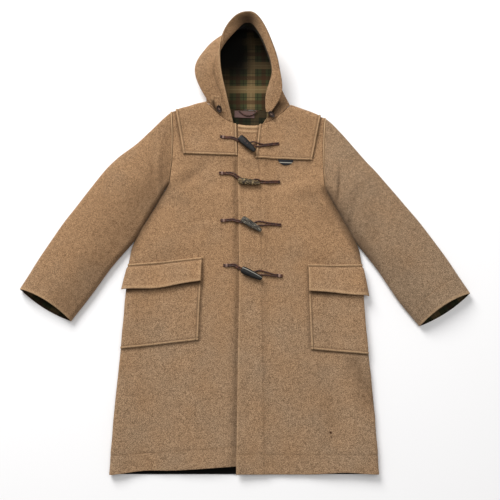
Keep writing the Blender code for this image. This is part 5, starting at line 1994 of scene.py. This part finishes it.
    def on_facets(self, p: Array, run: Array) -> tuple[Array, Array]:
        """The hood's outer face at some places on its coarse facets, and its normals there.

        Args:
            p: From the neckline (0) to the crown seam (1).
            run: From the face edge (0) to the back of the neck (1).

        Returns:
            The points and the normals.
        """
        rises, runs = np.array(self.facet_rises), np.array(self.facet_runs)
        grid = np.meshgrid(rises, runs, indexing="ij")
        corners = self.points(*grid) + self.normals(*grid) * HALF
        i = np.clip(np.searchsorted(rises, p, side="right") - 1, 0, len(rises) - 2)
        j = np.clip(np.searchsorted(runs, run, side="right") - 1, 0, len(runs) - 2)
        up = ((p - rises[i]) / (rises[i + 1] - rises[i]))[..., None]
        over = ((run - runs[j]) / (runs[j + 1] - runs[j]))[..., None]
        low, beside, above, across = corners[i, j], corners[i, j + 1], corners[i + 1, j], corners[i + 1, j + 1]
        first = low + over * (beside - low) + up * (across - beside)
        second = low + up * (above - low) + over * (across - above)
        return np.where(over >= up, first, second), self.normals(p, run)

    def highest_near(self, centre: Array, normal: Array, reach: float) -> float:
        """How far the hood and its facing stand out, along a normal, within reach of a place.

        Args:
            centre: The place.
            normal: Which way is out.
            reach: How far from the place it looks.

        Returns:
            The height in metres.
        """
        p, run = np.meshgrid(np.linspace(0.0, 0.25, 40), np.linspace(0.0, 0.5, 60), indexing="ij")
        middle, normals = self.points(p, run), self.normals(p, run)
        highest = 0.0
        for depth in (HALF, -HALF - SEAM - self.facing_cloth):
            offset = middle + normals * depth - centre
            out = offset @ normal
            aside = np.linalg.norm(offset - out[..., None] * normal, axis=-1)
            highest = max(highest, float(out[aside < reach].max()))
        return highest

    def build_tab(self) -> None:
        """The throat tab, with rounded ends and a stitched edge."""
        start, end, half_width = (np.array(v) for v in self.tab[:3])
        shares = np.concatenate([[0.0, 0.03, 0.08, 0.14], np.linspace(0.2, 0.8, 13), [0.86, 0.92, 0.97, 1.0]])
        sides = np.linspace(-1, 1, 13)
        from_end = np.minimum(shares, 1 - shares)
        width = 0.7 + 0.3 * np.sqrt(1 - (1 - np.minimum(from_end / 0.12, 1.0)) ** 2)
        places = start + (end - start) * shares[:, None, None]
        places = places + half_width * (width[:, None] * sides)[..., None]
        points, normals = self.on_facets(places[..., 0], places[..., 1])
        outer, inner = points + normals * (self.tab_gap + CLOTH), points + normals * self.tab_gap
        edge = np.minimum(1 - np.abs(sides)[None, :], from_end[:, None] * 4)
        # Painted shade along the tab's stitching line and beside the throat; its edge paler, partly wear and partly a
        # painted highlight.
        painted_shade = np.maximum(0.5 * hill(edge - 0.45, 0.14), self.shaded(points[..., 0], points[..., 1]))
        marks = Marks(lightened=0.5 * hill(edge, 0.15), painted_shade=painted_shade)
        Shell(f"hood_tab_{self.label}", outer, inner, marks).build([self.finishes.wool])

    def build_button(self) -> None:
        """The oval horn button, dished on top and sewn through two holes."""
        place, lean = self.tab[3], math.radians(self.tab[4])
        centre, normal = (v[0] for v in self.on_facets(*(np.array([v]) for v in place)))
        along = np.array((-math.sin(lean), math.cos(lean), 0.0))
        along = unit(along - normal * np.dot(normal, along))
        across = np.cross(along, normal)
        half_width, half_length, thick = self.button
        seat = max(CLOTH + 2 * self.tab_gap, SEAM + self.highest_near(centre, normal, half_length))
        sides = 48
        angles = 2 * math.pi * np.arange(sides) / sides
        flat = np.stack([half_width * np.cos(angles), half_length * np.sin(angles)], axis=-1)
        circle = flat @ np.array([across, along])
        rings = [centre + normal * (seat + depth * thick) + circle * share for depth, share in self.button_profile]
        cut = np.concatenate([flat * share for _, share in self.button_profile])
        name = f"hood_button_{self.label}"
        faces = ring_faces(len(rings), sides)
        piece = make_piece(f"{name}_horn", np.concatenate(rings), faces, [self.finishes.button], "horn", cut=cut)
        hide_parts(name)
        threads = []
        for aside in (-self.thread_aside, self.thread_aside):
            middle = centre + normal * (seat + 0.72 * thick) + across * aside
            ends = np.array([middle - along * self.thread_half, middle + along * self.thread_half])
            threads.append(tube(smoothed(ends, CORD_STEP), self.thread_radius, 6))
        make_piece(f"button_thread_{self.label}", *joined(threads), [self.finishes.whipping], "horn")

    def build(self) -> None:
        """The half, its facing, tab and button."""
        rises = np.concatenate([[0.0, 0.006, 0.014], np.linspace(0.024, 0.972, 66), [0.980, 0.986, 0.990, 0.9945, 1.0]])
        runs = np.concatenate([[0.0, 0.006, 0.014], np.linspace(0.022, 0.985, 62), [0.993, 1.0]])
        half = self.layer(f"hood_{self.label}", rises, runs, 0.0, CLOTH)
        half.build([self.finishes.wool, self.finishes.check])
        depth = CLOTH / 2 + SEAM + self.facing_cloth / 2
        rises, runs = np.linspace(0.06, 1.0, 70), np.linspace(0.0, self.facing_to, 9)
        facing = self.layer(f"hood_facing_{self.label}", rises, runs, depth, self.facing_cloth)
        facing.build([self.finishes.wool])
        self.build_tab()
        self.build_button()


# ---- fastenings
@dataclass
class Fastening:
    """A horn toggle, the doubled thong that holds it and the loop that it goes through."""

    number: int
    ends: tuple[float, float, float, float]
    holder: Route
    loop: Route
    pattern: Pattern
    finishes: Finishes
    sections: Route = ((0.000, 0.0058, 0.0030), (0.045, 0.0082, 0.0048), (0.250, 0.0088, 0.0056),
                       (0.500, 0.0084, 0.0056), (0.800, 0.0064, 0.0046), (0.965, 0.0046, 0.0034),
                       (1.000, 0.0030, 0.0020))
    half_height: float = 0.0056
    radius: float = 0.0022
    breadths: tuple[float, ...] = (1.28, 1.14, 1.16, 1.20)
    waist: Place = (0.47, 0.07, 0.05)
    hole_shares: Pair = (0.36, 0.50)
    hole_depths: Place = (0.0040, 0.0025, 0.0009)
    hole_radius: float = 0.0021
    reach_x: tuple[float, ...] = (-0.010, -0.005, 0.0, 0.005, 0.010)
    reach_y: tuple[float, ...] = (-0.004, 0.0, 0.004)
    thread: float = 0.00045
    thread_gap: float = 0.0003
    whipped_from: float = 0.0070
    whipped_to: float = 0.0125

    def build_toggle(self) -> float:
        """The toggle: a tapered horn with rounded ends.

        Returns:
            The height of the cloth below it.
        """
        wide, tip = np.array(self.ends[:2]), np.array(self.ends[2:])
        axis = unit(tip - wide)
        across = np.array((-axis[1], axis[0]))
        under = wide + (tip - wide) * np.linspace(0, 1, 7)[:, None, None]
        under = under + across * np.array([[-1.0], [0.0], [1.0]]) * self.half_height
        rest = float(self.pattern.cloth_top(under[..., 0], under[..., 1]).max())
        middle_z = rest + 2 * SEAM + 2 * self.radius + 0.95 * self.half_height
        shares, widths, thicks = zip(*self.sections)
        at = np.concatenate([[0.0, 0.008, 0.02, 0.035], np.linspace(0.05, 0.95, 37), [0.965, 0.98, 0.992, 1.0]])
        angles = 2 * math.pi * np.arange(32) / 32
        waist_at, waist_half_width, waist_depth = self.waist
        girth = (1 - waist_depth * hill(at - waist_at, waist_half_width))[:, None]
        aside = np.interp(at, shares, widths)[:, None] * girth * squared_off(np.cos(angles), 0.75)
        aside = aside * self.breadths[self.number - 1]
        level = middle_z + np.interp(at, shares, thicks)[:, None] * girth * squared_off(np.sin(angles), 0.8)
        plan = (wide + (tip - wide) * at[:, None])[:, None] + across * aside[..., None]
        rings = self.pattern.laid(np.concatenate([plan, level[..., None]], axis=-1)).reshape(-1, 3)
        grown = at[:, None] * np.linalg.norm(tip - wide) + self.number * 0.31 + 0 * level
        round_it = np.abs(angles - math.pi) * 0.008 + self.number * 0.17 + 0 * level
        cut = np.stack([grown, round_it], axis=-1).reshape(-1, 2)
        name, finish = f"toggle_{self.number}", self.finishes.horns[self.number - 1]
        piece = make_piece(f"{name}_horn", rings, ring_faces(*level.shape), [finish], "horn", cut=cut)
        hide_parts(name)
        # Toggle 1 shows the thong in its two holes, in the paler neck tape finish that also paints the highlight round
        # each hole.
        if self.number == 1:
            for k, share in enumerate(self.hole_shares, 1):
                top = middle_z + np.interp(share, shares, thicks)
                line = [(*(wide + (tip - wide) * share), top - depth) for depth in self.hole_depths]
                points, faces, _ = tube(self.pattern.laid(line), self.hole_radius, 16)
                make_piece(f"{name}_hole_{k}", points, faces, [self.finishes.tape], "horn")
        return rest

    def route(self, stations: Route, rest: float) -> Array:
        """A doubled thong: out along one strand, round under the toggle and back along the other.

        Args:
            stations: Places along the thong and half the gap between its strands.
            rest: The height of the cloth below the toggle.

        Returns:
            The points of its middle line.
        """
        table = np.array(stations)
        plan, apart = table[:, :2], table[:, 2:]
        along = unit(np.gradient(plan, axis=0))
        across = np.stack([-along[:, 1], along[:, 0]], axis=1)
        turn = []
        for angle in (math.pi / 4, 0.0, -math.pi / 4):
            turn.append(plan[-1] + apart[-1] * (along[-1] * math.cos(angle) + across[-1] * math.sin(angle)))
        out, back = plan + across * apart, plan - across * apart
        flat = np.array([*out, *turn, *back[::-1]])
        dx, dy = (v.reshape(1, -1) for v in np.meshgrid(self.reach_x, self.reach_y))
        near = self.pattern.cloth_top(flat[:, :1] + dx, flat[:, 1:] + dy).max(axis=1)
        path = np.column_stack([flat, np.minimum(near, rest) + SEAM + self.radius])
        held = slice(len(table) - 1, len(table) + len(turn) + 1)
        path[held, 2] = rest + SEAM + self.radius
        for _ in range(2):
            path[1:-1, 2] = np.maximum(path[1:-1, 2], (path[:-2, 2] + path[2:, 2]) / 2)
        return self.pattern.laid(path)

    def build_thong(self, name: str, stations: Route, rest: float, whipped: bool) -> None:
        """One doubled thong, with a band of thread round its sewn end.

        Args:
            name: Which thong it is.
            stations: The places that route takes.
            rest: The height of the cloth below the toggle.
            whipped: Whether thread binds its end.
        """
        line = smoothed(self.route(stations, rest), CORD_STEP)
        points, faces, cut = tube(line, self.radius, 14)
        piece = make_piece(f"{name}_{self.number}_leather", points, faces, [self.finishes.leather], "leather", cut=cut)
        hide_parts(f"{name}_{self.number}")
        if whipped:
            self.build_whipping(f"whipping_{name}_{self.number}", line)

    def build_whipping(self, name: str, line: Array) -> None:
        """Turns of thread round both strands near their sewn ends.

        Args:
            name: The piece's name.
            line: The doubled thong's middle line.
        """
        angles = np.linspace(0, 2 * math.pi, 25)
        outer = self.radius + self.thread_gap
        rise = squared_off(np.sin(angles), 0.6) * outer
        turns = []
        for k in range(int((self.whipped_to - self.whipped_from) / (2 * self.thread))):
            low, share = divmod(int(self.whipped_from / CORD_STEP) + k * 0.75, 1)
            low = int(low)
            one = line[low] * (1 - share) + line[low + 1] * share
            two = line[-1 - low] * (1 - share) + line[-2 - low] * share
            half = (one - two) / 2
            reach = np.linalg.norm(half) + outer
            loop = (one + two) / 2 + unit(half) * (np.cos(angles) * reach)[:, None]
            loop[:, 2] += rise
            turns.append(tube(loop, self.thread, 6))
        make_piece(name, *joined(turns), [self.finishes.whipping], "leather")

    def build(self) -> None:
        """The toggle and its two thongs."""
        rest = self.build_toggle()
        self.build_thong("toggle_thong", self.holder, rest, True)
        self.build_thong("loop_thong", self.loop, rest, self.number == 4)


# ---- labels
@dataclass
class Labels(Cloth):
    """The label under the left yoke, the one in the neck, and the loop to hang the coat by."""

    tab_size: Pair = (0.0450, 0.0160)
    tab_place: Pair = (0.1125, 0.2742)
    tab_rounding: float = 0.75
    neck_size: Pair = (0.0600, 0.0220)
    neck_place: Pair = (-0.0110, 0.4265)
    cloth: float = 0.0012
    gap: float = 0.0006
    hanger: Place = (0.0540, 0.0150, 0.0018)
    hanger_place: Pair = (-0.0010, 0.4260)

    def patch(
        self, name: str, place: Pair, size: Pair, height: Height, drop: float, finish: Material, slot: str
    ) -> None:
        """A label on a height field, its top edge at place.

        Args:
            name: The label's name.
            place: The middle of its top edge.
            size: Its width and length.
            height: The height field.
            drop: How much its lower edge is rounded.
            finish: Its material.
            slot: Passed on, but not used.
        """
        columns = np.linspace(-0.5, 0.5, 31)
        share, column = np.meshgrid(np.linspace(0, 1, 13), columns, indexing="ij")
        length = size[1] * (1 - drop * (2 * np.abs(column)) ** 2.5)
        x, y = place[0] + column * size[0], place[1] - share * length
        lift = HALF + self.gap + self.cloth / 2
        shell = self.on(name, x, y, height, lift, cloth=self.cloth, rounding=Rounding(*(0.0005,) * 4))
        shell.cut = np.stack([column * size[0], share * length], axis=-1)
        shell.build([finish], slot)

    def build(self) -> None:
        """Both labels and the hanging loop."""
        self.patch("label_tab", self.tab_place, self.tab_size, self.pattern.lap_z, self.tab_rounding,
                   self.finishes.label, "label")
        self.patch("neck_label", self.neck_place, self.neck_size, self.pattern.back_z, 0.0, self.finishes.tape, "tape")
        span, dip, radius = self.hanger
        share = np.linspace(-1, 1, 9)
        x, y = self.hanger_place[0] + share * span / 2, self.hanger_place[1] - dip * (1 - share**2)
        z = self.pattern.back_z(x, y) + HALF + self.gap + self.cloth + 2 * SEAM + radius
        line = smoothed(self.pattern.laid(np.stack([x, y, z], axis=-1)), CORD_STEP)
        points, faces, cut = tube(line, radius, 12)
        piece = make_piece("hanger_loop_leather", points, faces, [self.finishes.leather], "leather", cut=cut)
        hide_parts("hanger_loop")


# ---- studio
@dataclass(frozen=True)
class Studio:
    """A pale floor, soft lights and the camera."""

    floor_colour: Colour = tint(247, 246, 246)
    floor_size: float = 8.0
    floor_z: float = -0.0003
    camera_place: Place = (0.0155, -0.450, 1.949)
    camera_tilt: float = 13.0
    lens: float = 50.0
    world_strength: float = 0.34
    lights: tuple[tuple[Any, ...], ...] = (
        ("key", (-1.9, 3.2, 2.8), 2.8, 235.0),
        ("fill", (1.2, 0.6, 4.6), 3.2, 62.0),
    )

    def build(self) -> None:
        """Makes the studio."""
        half = self.floor_size / 2
        mesh = bpy.data.meshes.new("floor")
        corners = [(x * half, y * half, self.floor_z) for x, y in ((-1, -1), (1, -1), (1, 1), (-1, 1))]
        mesh.from_pydata(corners, [], [(0, 1, 2, 3)])
        graph = Graph("studio_floor", Specular_IOR_Level=0.1)
        mesh.materials.append(graph.paint(self.floor_colour, 0.95))
        placed("floor", mesh)
        world = bpy.data.worlds.new("soft_sky")
        world.use_nodes = True
        sky = world.node_tree.nodes["Background"].inputs
        sky["Color"].default_value = (1.0, 1.0, 1.0, 1.0)
        sky["Strength"].default_value = self.world_strength
        bpy.context.scene.world = world
        for name, place, size, power in self.lights:
            light = bpy.data.lights.new(name, "AREA")
            light.shape = "DISK"
            light.size = size
            light.energy = power
            lamp = placed(name, light)
            lamp.location = place
            lamp.rotation_euler = self.aimed(place)
        camera = placed("camera", bpy.data.cameras.new("camera"))
        camera.data.lens = self.lens
        camera.data.sensor_width = 36.0
        camera.location = self.camera_place
        camera.rotation_euler = (math.radians(self.camera_tilt), 0.0, 0.0)
        bpy.context.scene.camera = camera
        bpy.context.scene.view_settings.view_transform = "Standard"

    def aimed(self, place: Place) -> Place:
        """The turn that points a lamp from its place at the coat's middle."""
        x, y, z = place
        return (math.atan2(math.hypot(x, y), z), 0.0, math.atan2(x, -y))


# ---- this coat's own tables
# A row's height at the coat's side, and how much higher it is at the front edge.
RIGHT_RISES = ((0.1800, 0.0000), (0.1550, 0.0020), (0.1100, 0.0060), (0.0600, 0.0160), (0.0050, 0.0320),
               (-0.0480, 0.0430), (-0.0950, 0.0430), (-0.1190, 0.0440), (-0.2840, 0.0440), (-0.3600, 0.0420),
               (-0.4300, 0.0370), (-0.5000, 0.0320), (-0.5600, 0.0270), (-0.6180, 0.0260))
LEFT_RISES = ((0.1100, 0.0000), (0.0600, 0.0010), (0.0100, 0.0010), (-0.0430, 0.0020), (-0.0500, 0.0020),
              (-0.0920, 0.0030), (-0.1240, 0.0040), (-0.1950, 0.0160), (-0.2700, 0.0320), (-0.2990, 0.0320),
              (-0.3700, 0.0260), (-0.4350, 0.0180), (-0.5000, 0.0080), (-0.5600, 0.0020), (-0.6170, 0.0000))
# The outer edge across and along, the inner edge across (None where it lies along the body) and along, the height.
RIGHT_SLEEVE = ((-0.2640, 0.3770, None, 0.1760, 0.0270), (-0.3180, 0.3220, None, 0.1540, 0.0310),
                (-0.3790, 0.2710, None, 0.1140, 0.0330), (-0.4210, 0.2220, None, 0.0740, 0.0330),
                (-0.4750, 0.1450, None, 0.0200, 0.0320), (-0.5270, 0.0700, -0.3780, -0.0520, 0.0320),
                (-0.5820, -0.0220, -0.4310, -0.1310, 0.0330), (-0.6350, -0.1180, -0.4850, -0.2060, 0.0370))
LEFT_SLEEVE = ((0.2730, 0.3680, None, 0.1640, 0.0270), (0.3120, 0.3220, None, 0.1400, 0.0310),
               (0.3510, 0.2720, None, 0.1060, 0.0330), (0.3940, 0.2210, None, 0.0700, 0.0330),
               (0.4520, 0.1470, None, 0.0200, 0.0320), (0.5080, 0.0740, 0.3780, -0.0600, 0.0320),
               (0.5710, -0.0200, 0.4340, -0.1490, 0.0330), (0.6370, -0.1300, 0.4890, -0.2200, 0.0380))
# The run from the face edge, how far the arch swells at four stations, its rise, and the place of its crown.
RIGHT_HOOD = ((0.000, 0.0260, 0.0510, 0.0590, 0.0330, 0.0300, 0.0100, 0.7090, 0.0930),
              (0.115, 0.0390, 0.0770, 0.0520, 0.0140, 0.0350, 0.0090, 0.6850, 0.0520),
              (0.200, 0.0640, 0.1040, 0.0820, 0.0240, 0.0320, 0.0080, 0.6900, 0.0320),
              (0.320, 0.0560, 0.0920, 0.0780, 0.0320, 0.0190, 0.0070, 0.6960, 0.0130),
              (0.520, 0.0220, 0.0440, 0.0380, 0.0260, -0.0030, 0.0060, 0.6760, 0.0034),
              (0.760, 0.0060, 0.0120, 0.0120, 0.0080, -0.0010, 0.0060, 0.5800, 0.0017),
              (1.000, 0.0000, 0.0000, 0.0000, 0.0000, 0.0000, 0.0060, 0.4335, 0.0032))
LEFT_HOOD = ((0.000, 0.0600, 0.0630, 0.0460, 0.0210, 0.0360, 0.0100, 0.7090, 0.0930),
             (0.115, 0.0030, 0.0330, 0.0280, 0.0110, 0.0340, 0.0090, 0.6850, 0.0520),
             (0.200, 0.0040, 0.0240, 0.0200, 0.0090, 0.0220, 0.0080, 0.6900, 0.0320),
             (0.320, 0.0050, 0.0170, 0.0190, 0.0150, 0.0100, 0.0070, 0.6960, 0.0130),
             (0.520, -0.0040, 0.0030, 0.0100, 0.0130, -0.0030, 0.0060, 0.6760, 0.0034),
             (0.760, 0.0000, 0.0040, 0.0060, 0.0060, -0.0010, 0.0060, 0.5800, 0.0017),
             (1.000, 0.0000, 0.0000, 0.0000, 0.0000, 0.0000, 0.0060, 0.4335, 0.0032))
# A tab's start, end and half width on the hood's rise and run, then its button's place there and lean in degrees.
RIGHT_TAB = ((0.150, 0.120), (0.048, 0.158), (0.000, 0.040), (0.062, 0.160), 13.0)
LEFT_TAB = ((0.080, 0.460), (0.046, 0.240), (0.020, 0.000), (0.032, 0.180), 50.0)
# Painted shade in the recesses beside the throat: a line across and along, its half width and its strength.
RIGHT_SHADES = (((-0.0945, 0.4480, -0.0850, 0.4200), 0.0056, 1.0),)
LEFT_SHADES = (((0.0800, 0.4120, 0.0990, 0.4430), 0.0125, 1.0), ((0.0960, 0.4150, 0.1120, 0.4400), 0.0180, 0.55),
               ((0.0920, 0.5350, 0.0930, 0.4900), 0.0036, 0.75))
# Each toggle's wide end and tip, then its thong's and its loop's places and half the gap between their strands.
TOGGLES = (
    (
        (-0.0247, 0.3340, 0.0213, 0.2915),
        ((-0.0813, 0.3376, 0.0023), (-0.0630, 0.3353, 0.0023), (-0.0467, 0.3349, 0.0023), (-0.0302, 0.3282, 0.0023),
         (-0.0140, 0.3220, 0.0023)),
        ((0.0911, 0.3222, 0.0023), (0.0692, 0.3184, 0.0023), (0.0464, 0.3142, 0.0024), (0.0301, 0.3145, 0.0049),
         (0.0160, 0.3180, 0.0056), (0.0050, 0.3150, 0.0040)),
    ),
    (
        (-0.0266, 0.2010, 0.0384, 0.1955),
        ((-0.0825, 0.2261, 0.0023), (-0.0655, 0.2257, 0.0023), (-0.0510, 0.2265, 0.0023), (-0.0379, 0.2219, 0.0026),
         (-0.0264, 0.2135, 0.0030), (-0.0150, 0.2050, 0.0030)),
        ((0.0946, 0.2048, 0.0023), (0.0721, 0.2037, 0.0023), (0.0560, 0.2017, 0.0024), (0.0398, 0.2024, 0.0034),
         (0.0269, 0.2049, 0.0050), (0.0160, 0.2020, 0.0040)),
    ),
    (
        (-0.0121, 0.0868, 0.0441, 0.0512),
        ((-0.0733, 0.0823, 0.0023), (-0.0566, 0.0835, 0.0023), (-0.0408, 0.0852, 0.0023), (-0.0232, 0.0812, 0.0023),
         (-0.0040, 0.0780, 0.0023)),
        ((0.0993, 0.0718, 0.0023), (0.0819, 0.0732, 0.0023), (0.0659, 0.0744, 0.0026), (0.0500, 0.0748, 0.0050),
         (0.0341, 0.0750, 0.0060), (0.0220, 0.0715, 0.0040)),
    ),
    (
        (-0.0101, -0.0610, 0.0479, -0.0887),
        ((-0.0616, -0.0485, 0.0023), (-0.0467, -0.0484, 0.0023), (-0.0311, -0.0475, 0.0023),
         (-0.0184, -0.0553, 0.0023), (-0.0041, -0.0632, 0.0023)),
        ((0.1054, -0.0779, 0.0023), (0.0929, -0.0768, 0.0023), (0.0804, -0.0758, 0.0024), (0.0601, -0.0721, 0.0042),
         (0.0412, -0.0692, 0.0060), (0.0260, -0.0715, 0.0040)),
    ),
)


def main() -> None:
    """Builds the coat, part by part, and the studio round it."""
    logging.basicConfig(level=logging.INFO, format="%(name)s: %(message)s")
    Studio().build()
    pattern = Pattern()
    finishes = Finishes()
    right_front = Front(pattern, finishes, Wearer.RIGHT, yoke_y=pattern.right_yoke_y,
                        yoke_front=(0.0345, pattern.right_yoke_x), rises=RIGHT_RISES, pocket_share=0.455,
                        pocket_levels=(-0.0950, -0.2840), flap_levels=(-0.0480, -0.1190), flap_sag=(0.78, 0.16, 0.0070))
    parts = [
        Back(pattern, finishes),
        right_front,
        Sleeve(pattern, finishes, Wearer.RIGHT, rows=RIGHT_SLEEVE, skew=0.74, shade=0.26),
        Hood(pattern, finishes, Wearer.RIGHT, rows=RIGHT_HOOD, tab=RIGHT_TAB, shades=RIGHT_SHADES),
        Front(pattern, finishes, rises=LEFT_RISES),
        Sleeve(pattern, finishes, rows=LEFT_SLEEVE, cool=0.8, shade=0.12, crease_width=0.030),
        Hood(pattern, finishes, rows=LEFT_HOOD, tab=LEFT_TAB, shades=LEFT_SHADES),
    ]
    parts += [Fastening(number, *tables, pattern, finishes) for number, tables in enumerate(TOGGLES, 1)]
    for part in [*parts, Labels(pattern, finishes)]:
        part.build()


if __name__ == "__main__":
    main()
